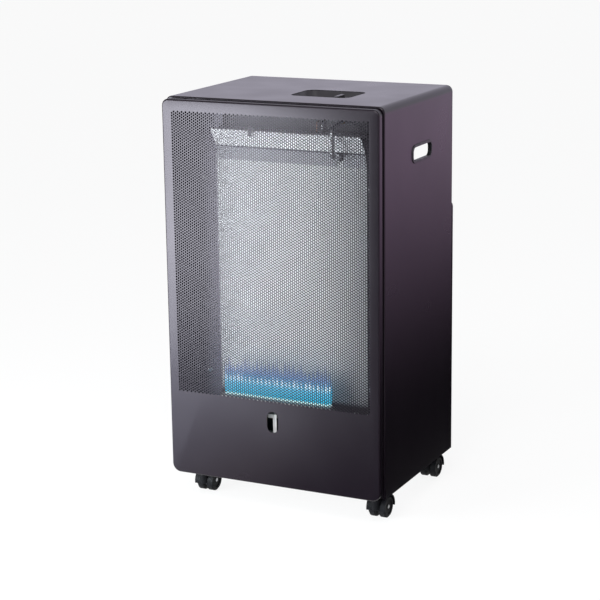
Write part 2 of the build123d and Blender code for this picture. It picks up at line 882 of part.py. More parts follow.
def burner_section(inset):
    """Round-shouldered section of the burner bar, smaller than the outside by inset."""
    with BuildSketch() as section:
        with Locations((burner_y, height(burner_mid))):
            Rectangle(burner_width - 2 * inset, burner_height - 2 * inset)
        fillet(section.vertices().group_by(Axis.Y)[-1], burner_shoulder - inset)
        fillet(section.vertices().group_by(Axis.Y)[0], burner_keel - inset)
    return section.sketch


outer_section = burner_section(0)
inner_section = burner_section(burner_wall)
with BuildPart() as burner_bar:
    with BuildSketch(side_view(burner_left)):
        add(outer_section)
    extrude(amount=burner_length)
    with BuildSketch(side_view(burner_left + burner_wall)):
        add(inner_section)
    extrude(amount=burner_length - 2 * burner_wall, mode=Mode.SUBTRACT)
    # ports across the top and the mixer's entry in the right end
    with BuildSketch(Plane.XY.offset(height(burner_top) + 1)):
        with Locations((burner_centre_x, burner_y)):
            with GridLocations(port_pitch, 1, port_count, 1):
                Rectangle(port_width, port_length)
    extrude(amount=-3, mode=Mode.SUBTRACT)
    with BuildSketch(side_view(burner_right + 1)):
        with Locations((burner_y, height(burner_mid))):
            Circle(venturi_throat)
    extrude(amount=-3, mode=Mode.SUBTRACT)
save(burner_bar, "burner_bar")

mixer_end = (burner_right, burner_y, height(burner_mid))
waist_x = venturi_waist * venturi_length
with BuildPart() as burner_venturi:
    with BuildSketch(Plane(mixer_end, x_dir=(1, 0, 0), z_dir=(0, -1, 0))):
        with BuildLine():
            outer = ThreePointArc(
                (0, venturi_throat + venturi_flare + burner_wall),
                (waist_x, venturi_throat + burner_wall),
                (venturi_length, venturi_mouth + burner_wall),
            )
            lip = Line(outer @ 1, (venturi_length, venturi_mouth))
            inner = ThreePointArc(lip @ 1, (waist_x, venturi_throat), (0, venturi_throat + venturi_flare))
            Line(inner @ 1, outer @ 0)
        make_face()
    revolve(axis=Axis(mixer_end, (1, 0, 0)))
save(burner_venturi, "burner_venturi")

with BuildPart() as gas_injector:
    with BuildSketch(side_view(injector_x - injector_length / 2)):
        with Locations((burner_y, height(burner_mid))):
            RegularPolygon(injector_hex / 2, 6, major_radius=False)
    extrude(amount=injector_length)
    with BuildSketch(side_view(injector_x - injector_length / 2)):
        with Locations((burner_y, height(burner_mid))):
            Circle(injector_nose_radius)
    extrude(amount=-(injector_gap + injector_nose_reach), taper=injector_nose_taper)
save(gas_injector, "gas_injector")


def burner_bracket(x):
    """Foot, upright and lap under the burner bar, folded from one strip."""
    with BuildPart() as bracket:
        with BuildSketch(front_view(burner_y + bracket_width / 2)):
            add(
                folded_sheet(
                    [
                        (x - bracket_lap, height(floor_top)),
                        (x, height(floor_top)),
                        (x, height(burner_top - burner_height) - bracket_sheet),
                        (x + bracket_lap, height(burner_top - burner_height) - bracket_sheet),
                    ],
                    bracket_sheet,
                )
            )
        extrude(amount=bracket_width)
    return bracket


save(burner_bracket(burner_left + bracket_inset), "burner_bracket_left")
save(burner_bracket(burner_right - bracket_inset - bracket_lap), "burner_bracket_right")

bracket_face_x = injector_x + injector_length / 2
with BuildPart() as injector_bracket:
    with BuildSketch(front_view(burner_y + bracket_width / 2)):
        add(
            folded_sheet(
                [
                    (bracket_face_x, height(burner_mid + injector_bracket_rise)),
                    (bracket_face_x, height(floor_top)),
                    (bracket_face_x + injector_foot, height(floor_top)),
                ],
                bracket_sheet,
            )
        )
    extrude(amount=bracket_width)
save(injector_bracket, "injector_bracket")

# ---------------------------------------------------------------- pilot
pilot_y = depth(pilot_depth)
strip_y = depth(lip_seat)
with BuildPart() as pilot_bracket:
    with BuildSketch(front_view(strip_y + inner_sheet)):
        with Locations((pilot_strip_x, height((floor_top + pilot_strip_top) / 2))):
            Rectangle(pilot_strip_width, pilot_strip_top - floor_top)
        with Locations(
            (pilot_strip_x - pilot_hook_reach / 2, height(pilot_strip_top - pilot_hook_height / 2))
        ):
            Rectangle(pilot_strip_width + pilot_hook_reach, pilot_hook_height)
    extrude(amount=inner_sheet)
    shelf_left = pilot_strip_x - pilot_strip_width / 2
    shelf_right = pilot_positions[-1] + pilot_shelf_overhang
    with BuildSketch(Plane.XY.offset(height(pilot_shelf_height))):
        with Locations(((shelf_left + shelf_right) / 2, pilot_y)):
            Rectangle(shelf_right - shelf_left, pilot_shelf_width)
    extrude(amount=inner_sheet)
    with BuildSketch(Plane.XY.offset(height(pilot_shelf_height) - 1)):
        for place in pilot_positions:
            with Locations((place, pilot_y)):
                Circle(pilot_shank_radius + pilot_shank_gap)
    extrude(amount=3, mode=Mode.SUBTRACT)
save(pilot_bracket, "pilot_bracket")


shelf_under = height(pilot_shelf_height)
shelf_top = shelf_under + inner_sheet
pilot_foot = shelf_under - pilot_tail


def pilot_piece(x, foot_radius, stations):
    """Piece clamped in the shelf, given as (distance above the shelf, radius) pairs."""
    lower = [(pilot_foot, foot_radius), (shelf_under, foot_radius)]
    lower += [(shelf_under, pilot_shank_radius), (shelf_top, pilot_shank_radius)]
    upper = [(shelf_top + rise, radius) for rise, radius in stations]
    with BuildPart() as piece:
        add(turned((x, pilot_y, 0), (0, 0, 1), lower + upper))
    return piece


save(
    pilot_piece(pilot_positions[0], 3.6, [(0, 3.6), (20, 3.6), (24, 2.4), (28, 4.2)]), "pilot_burner"
)
save(
    pilot_piece(pilot_positions[1], 3.2, [(0, 3.4), (4, 3.4), (4, 2.0), (30, 2.0), (33, 1.0)]),
    "thermocouple",
)
save(
    pilot_piece(
        pilot_positions[2], 3.0, [(0, 3.8), (5, 3.8), (7, 2.4), (22, 2.4), (24, 1.0), (34, 1.0)]
    ),
    "spark_electrode",
)

# ---------------------------------------------------------------- gas valve, plunger, spindle, knob
valve_top = tray_under_z
valve_bottom = valve_top - valve_height
valve_front = tray_y - valve_width / 2
valve_back = tray_y + valve_width / 2
bonnet_top = tray_floor_z + bonnet_rise
plunger_bottom = bonnet_top - plunger_length
plunger_seat = plunger_bottom - push_travel - plunger_end_gap
spindle_bottom = plunger_bottom - spindle_tail
spindle_seat = spindle_bottom - push_travel - spindle_end_gap
with BuildPart() as gas_valve:
    with BuildSketch(Plane.XY.offset(valve_bottom)):
        with Locations((knob_x, tray_y)):
            RectangleRounded(valve_length, valve_width, valve_corner)
    extrude(amount=valve_height)
    fillet(gas_valve.faces().sort_by(Axis.Z)[0].edges(), valve_edge_round)
    with BuildSketch(Plane.XY.offset(valve_top)):
        with Locations((knob_x, tray_y)):
            Circle(bonnet_radius)
    extrude(amount=bonnet_top - valve_top)
    # main outlet, pilot outlet and thermocouple union on the front
    with BuildSketch(front_view(valve_front)):
        with Locations((main_outlet_x, height(outlet_height))):
            Circle(main_pipe_radius + outlet_wall)
        with Locations(
            (pilot_outlet_x, height(outlet_height)), (lead_outlet_x, height(outlet_height))
        ):
            Circle(pilot_pipe_radius + thin_outlet_wall)
    extrude(amount=outlet_length)
    with BuildSketch(Plane.XY.offset(bonnet_top)):
        with Locations((knob_x, tray_y)):
            Circle(plunger_radius + running_gap)
    extrude(amount=plunger_seat - bonnet_top, mode=Mode.SUBTRACT)
    with BuildSketch(Plane.XY.offset(plunger_seat)):
        with Locations((knob_x, tray_y)):
            Circle(spindle_radius + running_gap)
    extrude(amount=spindle_seat - plunger_seat, mode=Mode.SUBTRACT)
    with BuildSketch(Plane.XY.offset(valve_top)):
        with Locations((knob_x - valve_screw_offset, tray_y), (knob_x + valve_screw_offset, tray_y)):
            Circle(valve_screw[1] + screw_hole_gap)
    extrude(amount=-(valve_screw[2] + 1), mode=Mode.SUBTRACT)
save(gas_valve, "gas_valve")

with BuildPart() as valve_screws:
    for side in (-1, 1):
        add(
            pan_screw((knob_x + side * valve_screw_offset, tray_y, tray_floor_z), (0, 0, 1), valve_screw)
        )
save(valve_screws, "valve_screws")

with BuildPart() as valve_plunger:
    with BuildSketch(Plane.XY.offset(plunger_bottom)):
        with Locations((knob_x, tray_y)):
            Circle(plunger_radius)
            Circle(spindle_radius + running_gap, mode=Mode.SUBTRACT)
    extrude(amount=bonnet_top - plunger_bottom)
save(valve_plunger, "valve_plunger")

knob_bottom = tray_floor_z + knob_lift
knob_face = knob_bottom + knob_height
collar_bottom = bonnet_top + fit_gap
collar_top = bonnet_top + push_travel + 0.5
spindle_top = knob_face + spindle_reach


def spindle_flat_cut(gap):
    """Space beyond the flat that drives the knob, drawn round the spindle."""
    with BuildSketch() as cut:
        with Locations((knob_x, tray_y + spindle_flat + spindle_radius + gap)):
            Rectangle(4 * spindle_radius, 2 * spindle_radius)
    return cut.sketch


with BuildPart() as valve_spindle:
    with BuildSketch(Plane.XY.offset(spindle_bottom)):
        with Locations((knob_x, tray_y)):
            Circle(spindle_radius)
    extrude(amount=spindle_top - spindle_bottom)
    with BuildSketch(Plane.XY.offset(collar_bottom)):
        with Locations((knob_x, tray_y)):
            Circle(collar_radius)
    extrude(amount=collar_top - collar_bottom)
    with BuildSketch(Plane.XY.offset(collar_top)):
        add(spindle_flat_cut(0))
    extrude(amount=spindle_top - collar_top + 1, mode=Mode.SUBTRACT)
save(valve_spindle, "valve_spindle")

with BuildPart() as control_knob:
    with BuildSketch(Plane.XY.offset(knob_bottom)):
        with Locations((knob_x, tray_y)):
            Circle(knob_radius)
    extrude(amount=knob_height, taper=4)
    fillet(control_knob.faces().sort_by(Axis.Z)[-1].edges(), knob_edge_round)
    with BuildSketch(Plane.XY.offset(knob_face - 1)):
        with Locations((knob_x, tray_y)):
            SlotOverall(knob_grip_length, knob_grip_width, rotation=90)
    extrude(amount=knob_grip_height + 1, taper=3)
    fillet(control_knob.faces().sort_by(Axis.Z)[-1].edges(), knob_grip_round)
    # open under the skirt, with a boss that seats on the spindle's collar
    with BuildSketch(Plane.XY.offset(knob_bottom)):
        with Locations((knob_x, tray_y)):
            Circle(knob_radius - knob_wall)
    extrude(amount=collar_top - knob_bottom, mode=Mode.SUBTRACT)
    with BuildSketch(Plane.XY.offset(collar_top)):
        with Locations((knob_x, tray_y)):
            Circle(knob_radius - knob_wall)
            Circle(collar_radius + knob_boss_wall, mode=Mode.SUBTRACT)
    extrude(amount=knob_face - knob_wall - collar_top, mode=Mode.SUBTRACT)
    with BuildSketch(Plane.XY.offset(collar_top)):
        with Locations((knob_x, tray_y)):
            Circle(spindle_radius + knob_bore_gap)
        add(spindle_flat_cut(knob_bore_gap), mode=Mode.SUBTRACT)
    extrude(amount=spindle_top + 0.2 - collar_top, mode=Mode.SUBTRACT)
save(control_knob, "control_knob")

# ---------------------------------------------------------------- hose nozzle, pipes and leads
with BuildPart() as hose_nozzle:
    nozzle_place = Plane(
        (knob_x, valve_back, height(hose_nozzle_height)), x_dir=(1, 0, 0), z_dir=(0, 1, 0)
    )
    with BuildSketch(nozzle_place):
        RegularPolygon(hose_nozzle_hex / 2, 6, major_radius=False)
    extrude(amount=hose_nozzle_hex_length)
    groove_start, groove_end, groove_depth = hose_nozzle_groove
    stations = [(0, hose_nozzle_radius), (groove_start, hose_nozzle_radius)]
    stations += [(along, hose_nozzle_radius - groove_depth) for along in (groove_start, groove_end)]
    stations += [(groove_end, hose_nozzle_radius), (hose_nozzle_length, hose_nozzle_radius)]
    add(turned(tuple(nozzle_place.origin), (0, 1, 0), stations))
    with BuildSketch(nozzle_place.offset(hose_nozzle_length)):
        Circle(hose_nozzle_bore)
    extrude(amount=hose_nozzle_blind - hose_nozzle_length, mode=Mode.SUBTRACT)
save(hose_nozzle, "hose_nozzle")


def pipe(points, radius, bend):
    """Round pipe bent along points given as (x, depth behind the front, height)."""
    with BuildPart() as tube:
        with BuildLine() as route:
            FilletPolyline(*[(x, depth(d), height(h)) for x, d, h in points], radius=bend)
        with BuildSketch(Plane(route.line @ 0, z_dir=route.line % 0)):
            Circle(radius)
        sweep()
    return tube


outlet_depth = tray_centre_depth - valve_width / 2 - outlet_length
igniter_foot = tray_recess + igniter_depth
pilot_piece_foot = pilot_shelf_height - pilot_tail
thermocouple_run = low_run - low_run_step
ignition_run = thermocouple_run - low_run_step
save(
    pipe(
        [
            (main_outlet_x, outlet_depth, outlet_height),
            (main_outlet_x, outlet_depth - outlet_run, outlet_height),
            (main_pipe_x, partition_depth - main_pipe_step, outlet_height + 1),
            (main_pipe_x, main_pipe_depth, main_pipe_top),
            (main_pipe_x, main_pipe_depth, main_pipe_return),
            (main_pipe_x, pipe_gap_depth, main_pipe_return),
            (main_pipe_x, pipe_gap_depth, low_run),
            (injector_x, pipe_gap_depth, low_run),
            (injector_x, burner_centre_depth, low_run),
            (injector_x, burner_centre_depth, burner_mid - injector_hex / 2),
        ],
        main_pipe_radius, pipe_bend,
    ),
    "main_gas_pipe",
)
save(
    pipe(
        [
            (pilot_outlet_x, outlet_depth, outlet_height),
            (pilot_outlet_x, pipe_gap_depth, outlet_height),
            (pilot_outlet_x, pipe_gap_depth, low_run),
            (pilot_positions[0], pilot_depth, low_run),
            (pilot_positions[0], pilot_depth, pilot_piece_foot),
        ],
        pilot_pipe_radius, thin_bend,
    ),
    "pilot_gas_pipe",
)
save(
    pipe(
        [
            (lead_outlet_x, outlet_depth, outlet_height),
            (lead_outlet_x, pipe_gap_depth, outlet_height),
            (lead_outlet_x, pipe_gap_depth, thermocouple_run),
            (pilot_positions[1], pilot_depth, thermocouple_run),
            (pilot_positions[1], pilot_depth, pilot_piece_foot),
        ],
        lead_radius, thin_bend,
    ),
    "thermocouple_lead",
)
save(
    pipe(
        [
            (button_x, tray_centre_depth, cabinet_height - igniter_foot),
            (button_x, tray_centre_depth, lead_hole_height),
            (button_x, pipe_gap_depth, lead_hole_height),
            (button_x, pipe_gap_depth, ignition_run),
            (pilot_positions[2], pilot_depth, ignition_run),
            (pilot_positions[2], pilot_depth, pilot_piece_foot),
        ],
        lead_radius, thin_bend,
    ),
    "ignition_lead",
)

# ---------------------------------------------------------------- igniter
bezel_top = tray_floor_z + igniter_bezel_thickness
button_bottom = bezel_top - button_seat
button_top = bezel_top + button_travel + button_proud
pocket_floor = button_bottom - button_travel - button_end_gap
body_wide = button_width + 2 * (igniter_hole_lap - fit_gap)
body_long = button_length + 2 * (igniter_hole_lap - fit_gap)
with BuildPart() as igniter_body:
    with BuildSketch(Plane.XY.offset(tray_floor_z)):
        with Locations((button_x, tray_y)):
            RectangleRounded(
                button_width + 2 * igniter_bezel, button_length + 2 * igniter_bezel, button_width / 2 + 1
            )
    extrude(amount=igniter_bezel_thickness)
    fillet(igniter_body.faces().sort_by(Axis.Z)[-1].edges(), igniter_bezel_round)
    with BuildSketch(Plane.XY.offset(tray_floor_z)):
        with Locations((button_x, tray_y)):
            RectangleRounded(body_wide, body_long, igniter_body_corner)
    extrude(amount=-igniter_depth)
    with BuildSketch(Plane.XY.offset(bezel_top)):
        with Locations((button_x, tray_y)):
            SlotOverall(button_length + 2 * fit_gap, button_width + 2 * fit_gap, rotation=90)
    extrude(amount=pocket_floor - bezel_top, mode=Mode.SUBTRACT)
save(igniter_body, "igniter_body")

with BuildPart() as igniter_button:
    with BuildSketch(Plane.XY.offset(button_bottom)):
        with Locations((button_x, tray_y)):
            SlotOverall(button_length, button_width, rotation=90)
    extrude(amount=button_top - button_bottom)
    fillet(igniter_button.faces().sort_by(Axis.Z)[-1].edges(), button_edge_round)
save(igniter_button, "igniter_button")


# ---------------------------------------------------------------- handle inserts
def handle_insert(side):
    """Grip pushed through the cabinet's side, with a rim outside and a sleeve inside."""
    outside = side_view(side * half_width)
    place = (handle_y, height(handle_height))
    with BuildPart() as insert:
        with BuildSketch(outside):
            with Locations(place):
                add(grip_outline(grip_rim_lap))
        extrude(amount=side * grip_rim_thickness)
        outer_face = insert.faces().sort_by(Axis.X)[-1 if side > 0 else 0]
        fillet(outer_face.edges(), grip_rim_round)
        with BuildSketch(outside):
            with Locations(place):
                add(grip_outline(grip_wall))
        extrude(amount=-side * grip_reach)
        with BuildSketch(side_view(side * (half_width + 2 * grip_rim_thickness))):
            with Locations(place):
                add(grip_outline(0))
        extrude(amount=-side * (grip_reach + 3 * grip_rim_thickness), mode=Mode.SUBTRACT)
    return insert


save(handle_insert(-1), "handle_insert_left")
save(handle_insert(1), "handle_insert_right")

# ---------------------------------------------------------------- rear cover
cover_bottom = base_z
cover_base_y = cover_front_y + cover_rim


def cover_form(inset, front, back):
    """Tapered cover block between two depths, smaller all round by inset."""
    with BuildPart() as form:
        for y, half, top in (
            (front, cover_base_half - inset, cover_base_top - inset),
            (back, cover_back_half - inset, cover_back_top - inset),
        ):
            with BuildSketch(front_view(y)) as section:
                with Locations((0, (cover_bottom + inset + height(top)) / 2)):
                    Rectangle(2 * half, height(top) - cover_bottom - inset)
                fillet(section.vertices().group_by(Axis.Y)[-1], cover_corner - inset)
                fillet(section.vertices().group_by(Axis.Y)[0], cover_foot_corner - inset)
        loft()
    return form.part


with BuildPart() as rear_cover:
    with BuildSketch(front_view(cover_base_y)) as rim:
        with Locations((0, height(cover_height / 2))):
            Rectangle(cabinet_width, cover_height)
        fillet(rim.vertices().group_by(Axis.Y)[-1], bend_radius)
    extrude(amount=cover_rim)
    add(cover_form(0, cover_base_y, cover_back_y))
    add(cover_form(sheet, cover_base_y, cover_back_y - sheet), mode=Mode.SUBTRACT)
    with BuildSketch(front_view(cover_base_y)):
        with Locations((0, (cover_bottom + sheet + height(cover_base_top) - sheet) / 2)):
            RectangleRounded(
                2 * (cover_base_half - sheet), height(cover_base_top) - cover_bottom - 2 * sheet,
                cover_foot_corner - sheet,
            )
    extrude(amount=cover_rim, mode=Mode.SUBTRACT)
    # hollow the rim from the front so that it is a turned edge
    with BuildSketch(front_view(cover_base_y - sheet)):
        with Locations((0, height(cover_height / 2))):
            Rectangle(cabinet_width - 2 * sheet, cover_height - 2 * sheet)
    extrude(amount=cover_rim, mode=Mode.SUBTRACT)
    # tabs that hook into the cabinet's rear lip
    with BuildSketch(front_view(cover_base_y)):
        with Locations(
            *[(side * cover_tab_x, height(h)) for side in (-1, 1) for h in cover_tab_heights]
        ):
            Rectangle(sheet, cover_tab_length)
    extrude(amount=cover_rim + fit_gap + cover_tab_reach)
    # vent slots low down and high up
    with BuildSketch(front_view(cover_back_y + 1)):
        with Locations((0, height(cover_low_vent)), (0, height(cover_height - cover_high_vent_drop))):
            with GridLocations(1, cover_vent_pitch, 1, cover_vent_rows):
                SlotOverall(cover_vent_length, cover_vent_width)
    extrude(amount=3, mode=Mode.SUBTRACT)
save(rear_cover, "rear_cover")

# ---------------------------------------------------------------- casters
fender_half = web_half + 2 * wheel_side_gap + wheel_width + fender_overhang
fender_inner = wheel_radius + fender_gap
fender_outer = fender_inner + fender_thickness
boss_top = base_z + tray_raise - socket_flange - fit_gap
stem_bottom = boss_top - stem_depth
stem_top = base_z + stem_rise


def caster_hood(x, y):
    """Twin-wheel caster body: fender, middle web and swivel boss."""
    axle_y = y + caster_trail
    with BuildPart() as hood:
        with BuildSketch(side_view(x - fender_half)):
            with Locations((axle_y, wheel_radius)):
                Circle(fender_outer)
            with Locations((axle_y, wheel_radius - fender_drop - fender_outer)):
                Rectangle(3 * fender_outer, 2 * fender_outer, mode=Mode.SUBTRACT)
        extrude(amount=2 * fender_half)
        with BuildSketch(Plane.XY.offset(wheel_radius)):
            with Locations((x, y)):
                Circle(boss_radius)
        extrude(amount=boss_top - wheel_radius)
        for start in (x - fender_half - 1, x + web_half):
            with BuildSketch(side_view(start)):
                with Locations((axle_y, wheel_radius)):
                    Circle(fender_inner)
            extrude(amount=fender_half + 1 - web_half, mode=Mode.SUBTRACT)
        with BuildSketch(side_view(x - web_half)):
            with Locations((axle_y, wheel_radius)):
                Circle(hub_radius)
        extrude(amount=2 * web_half)
        with BuildSketch(side_view(x - web_half - 1)):
            with Locations((axle_y, wheel_radius)):
                Circle(axle_radius)
        extrude(amount=2 * web_half + 2, mode=Mode.SUBTRACT)
        with BuildSketch(Plane.XY.offset(boss_top)):
            with Locations((x, y)):
                Circle(stem_radius)
        extrude(amount=stem_bottom - boss_top, mode=Mode.SUBTRACT)
    return hood


def caster_stem(x, y):
    """Steel stem pressed into the hood, turning in its socket."""
    with BuildPart() as stem:
        stations = [(0, stem_radius), (stem_top - stem_bottom - 1, stem_radius)]
        stations += [(stem_top - stem_bottom, stem_radius - 1)]
        add(turned((x, y, stem_bottom), (0, 0, 1), stations))
    return stem


axle_half = web_half + wheel_side_gap + wheel_width - wheel_dish_depth
cap_half = axle_half + axle_cap_length


def caster_axle(x, y):
    """Axle pin with a push-on cap at each end."""
    axle_y = y + caster_trail
    with BuildPart() as axle:
        cap_start = axle_half + axle_cap_gap
        stations = [(-cap_half, axle_cap_radius), (-cap_start, axle_cap_radius)]
        stations += [(-cap_start, axle_radius)]
        stations += [(-along, radius) for along, radius in reversed(stations)]
        add(turned((x, axle_y, wheel_radius), (1, 0, 0), stations))
    return axle


def caster_wheel(x, y, side):
    """Wheel with a rounded tread, a dished outer face and its bore."""
    inner_x = side * (web_half + wheel_side_gap)
    axis_place = (x + inner_x, y + caster_trail, wheel_radius)
    stations = [(0, wheel_radius - wheel_tread_round), (wheel_tread_round, wheel_radius)]
    stations += [(wheel_width - wheel_rim_width, wheel_radius)]
    stations += [(wheel_width, wheel_radius - wheel_rim_step)]
    stations += [(wheel_width, wheel_dish_radius), (wheel_width - wheel_dish_depth, wheel_dish_radius - 1)]
    with BuildPart() as wheel:
        add(turned(axis_place, (side, 0, 0), stations))
        with BuildSketch(side_view(x - 2 * wheel_width)):
            with Locations((axis_place[1], wheel_radius)):
                Circle(axle_radius + running_gap)
        extrude(amount=4 * wheel_width, mode=Mode.SUBTRACT)
    return wheel


for corner, (stem_place_x, stem_place_y) in stem_places.items():
    save(caster_hood(stem_place_x, stem_place_y), f"caster_hood_{corner}")
    save(caster_stem(stem_place_x, stem_place_y), f"caster_stem_{corner}")
    save(caster_axle(stem_place_x, stem_place_y), f"caster_axle_{corner}")
    save(caster_wheel(stem_place_x, stem_place_y, -1), f"caster_wheel_{corner}_a")
    save(caster_wheel(stem_place_x, stem_place_y, 1), f"caster_wheel_{corner}_b")

with BuildPart() as caster_sockets:
    for x, y in stem_places.values():
        flange_radius = socket_radius + socket_flange_lap
        socket_foot = tray_bottom_z - socket_flange
        stations = [(0, flange_radius), (socket_flange, flange_radius)]
        stations += [(socket_flange, socket_radius), (socket_length, socket_radius)]
        add(turned((x, y, socket_foot), (0, 0, 1), stations))
        with BuildSketch(Plane.XY.offset(socket_foot - 1)):
            with Locations((x, y)):
                Circle(stem_radius + running_gap)
        extrude(amount=socket_length + 2, mode=Mode.SUBTRACT)
save(caster_sockets, "caster_sockets")
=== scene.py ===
"""Looks of the portable gas cabinet heater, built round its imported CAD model. Metres, +Z up."""
import math
import random

import bmesh
import bpy
import numpy as np
from mathutils import Matrix, Vector

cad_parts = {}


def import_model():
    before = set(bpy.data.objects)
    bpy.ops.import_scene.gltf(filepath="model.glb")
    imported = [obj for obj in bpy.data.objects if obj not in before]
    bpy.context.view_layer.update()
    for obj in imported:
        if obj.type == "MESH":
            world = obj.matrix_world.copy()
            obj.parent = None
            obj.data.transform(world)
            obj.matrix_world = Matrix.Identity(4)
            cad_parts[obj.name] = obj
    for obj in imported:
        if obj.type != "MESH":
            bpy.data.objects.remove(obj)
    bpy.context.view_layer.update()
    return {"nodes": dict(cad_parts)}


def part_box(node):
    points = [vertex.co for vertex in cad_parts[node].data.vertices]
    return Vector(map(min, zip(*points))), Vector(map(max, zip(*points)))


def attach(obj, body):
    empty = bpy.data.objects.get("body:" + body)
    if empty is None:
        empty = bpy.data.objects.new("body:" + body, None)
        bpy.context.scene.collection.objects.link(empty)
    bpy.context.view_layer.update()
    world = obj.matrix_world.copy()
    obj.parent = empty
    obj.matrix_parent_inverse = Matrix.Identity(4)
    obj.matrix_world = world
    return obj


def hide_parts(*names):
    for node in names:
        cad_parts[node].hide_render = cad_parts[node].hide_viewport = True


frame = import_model()
nodes = frame["nodes"]
MM = 0.001
random.seed(7)


# ---------------------------------------------------------------- camera
# Solved from the cabinet's corners in a frame of 600 x 600 pixels.
CAMERA_PLACE = (1.4052, -2.9369, 1.1605)
CAMERA_TURN = (26.28, 13.93, -0.763)
FOCAL_PIXELS = 1811.1
FRAME_PIXELS = 600.0
SENSOR_WIDTH = 36.0
CLIP_END = 50


def make_camera():
    """Camera at its place, turned by yaw, pitch and roll."""
    yaw, pitch, roll = (math.radians(angle) for angle in CAMERA_TURN)
    forward = Vector(
        (-math.sin(yaw) * math.cos(pitch), math.cos(yaw) * math.cos(pitch), -math.sin(pitch))
    )
    level = Vector((math.cos(yaw), math.sin(yaw), 0))
    upright = level.cross(forward)
    right = math.cos(roll) * level + math.sin(roll) * upright
    up = math.cos(roll) * upright - math.sin(roll) * level
    data = bpy.data.cameras.new("camera")
    data.sensor_width = SENSOR_WIDTH
    data.lens = FOCAL_PIXELS * SENSOR_WIDTH / FRAME_PIXELS
    data.clip_end = CLIP_END
    camera = bpy.data.objects.new("camera", data)
    bpy.context.scene.collection.objects.link(camera)
    turn = Matrix((right, up, -forward)).transposed()
    camera.matrix_world = Matrix.Translation(CAMERA_PLACE) @ turn.to_4x4()
    bpy.context.scene.camera = camera


make_camera()
bpy.context.scene.view_settings.view_transform = "Standard"


# ---------------------------------------------------------------- shader helpers
# The part of a noise value's spread that is used, and the depth of the finest relief.
NOISE_LOW, NOISE_HIGH = 0.3, 0.7
RELIEF_DEPTH = 0.2 * MM


def new_material(name):
    """New node material and its Principled shader."""
    material = bpy.data.materials.new(name)
    material.use_nodes = True
    return material, material.node_tree.nodes["Principled BSDF"]


def add_node(material, kind, **settings):
    """New node in a material or world; settings name its attributes or input sockets."""
    node = material.node_tree.nodes.new(kind)
    for key, value in settings.items():
        if hasattr(node, key):
            setattr(node, key, value)
        else:
            node.inputs[key.replace("_", " ")].default_value = value
    return node


def link(material, source, target):
    """Link an output socket to an input socket."""
    material.node_tree.links.new(source, target)


def object_noise(material, scale, stretch=(1, 1, 1), detail=2.0):
    """Noise value over the object's own coordinates, stretched along its axes."""
    coords = add_node(material, "ShaderNodeTexCoord")
    mapping = add_node(material, "ShaderNodeMapping")
    mapping.inputs["Scale"].default_value = stretch
    noise = add_node(material, "ShaderNodeTexNoise", Scale=scale, Detail=detail)
    link(material, coords.outputs["Object"], mapping.inputs["Vector"])
    link(material, mapping.outputs["Vector"], noise.inputs["Vector"])
    return noise.outputs["Fac"]


def ramp(material, value, low, high):
    """Map a noise value to a range of numbers."""
    node = add_node(
        material, "ShaderNodeMapRange",
        From_Min=NOISE_LOW, From_Max=NOISE_HIGH, To_Min=low, To_Max=high,
    )
    link(material, value, node.inputs["Value"])
    return node.outputs["Result"]


def along(material, axis, start, end):
    """Value rising smoothly from 0 to 1 between two places on one of the object's axes."""
    coords = add_node(material, "ShaderNodeTexCoord")
    split = add_node(material, "ShaderNodeSeparateXYZ")
    node = add_node(
        material, "ShaderNodeMapRange",
        interpolation_type="SMOOTHSTEP", From_Min=start, From_Max=end,
    )
    link(material, coords.outputs["Object"], split.inputs["Vector"])
    link(material, split.outputs[axis], node.inputs["Value"])
    return node.outputs["Result"]


def blend(material, value, colour, other):
    """Blend two colours by a value; each is a colour or a socket."""
    node = add_node(material, "ShaderNodeMix", data_type="RGBA")
    link(material, value, node.inputs["Factor"])
    for socket, tone in ((node.inputs[6], colour), (node.inputs[7], other)):
        if isinstance(tone, tuple):
            socket.default_value = (*tone, 1)
        else:
            link(material, tone, socket)
    return node.outputs[2]


def bump(material, shader, value, strength):
    """Small relief from a value."""
    node = add_node(material, "ShaderNodeBump", Strength=strength, Distance=RELIEF_DEPTH)
    link(material, value, node.inputs["Height"])
    link(material, node.outputs["Normal"], shader.inputs["Normal"])


# ---------------------------------------------------------------- materials
# Stretch of a metal's noise, which sets the way and the length of its grain.
GRAIN_ACROSS = (0.05, 1, 1)
GRAIN_UP_LONG = (1, 1, 0.03)
GRAIN_UP = (1, 1, 0.05)
GRAIN_UP_SHORT = (1, 1, 0.2)
# Noise scales: the higher, the finer.
PAINT_FLAKES, PAINT_PEEL, PAINT_SHEEN = 2600, 900, 9
METAL_STREAKS, METAL_PATCHES = 60, 7
PLASTIC_GRAIN, PLASTIC_SHEEN, PLASTIC_PATCHES = 1800, 80, 30
BAND_STREAKS, BAND_PATCHES = 90, 12
STREAK_DETAIL = 4.0


def paint(name, dark, light, low, high):
    """Satin stove paint with a fine flake, a soft orange peel and uneven sheen."""
    material, shader = new_material(name)
    shader.inputs["Specular IOR Level"].default_value = 0.30
    shader.inputs["Specular Tint"].default_value = (0.98, 0.90, 1.0, 1)
    flakes = ramp(material, object_noise(material, PAINT_FLAKES, detail=1.0), 0, 1)
    link(material, blend(material, flakes, dark, light), shader.inputs["Base Color"])
    sheen = ramp(material, object_noise(material, PAINT_SHEEN), low, high)
    link(material, sheen, shader.inputs["Roughness"])
    bump(material, shader, object_noise(material, PAINT_PEEL, detail=1.0), 0.03)
    return material


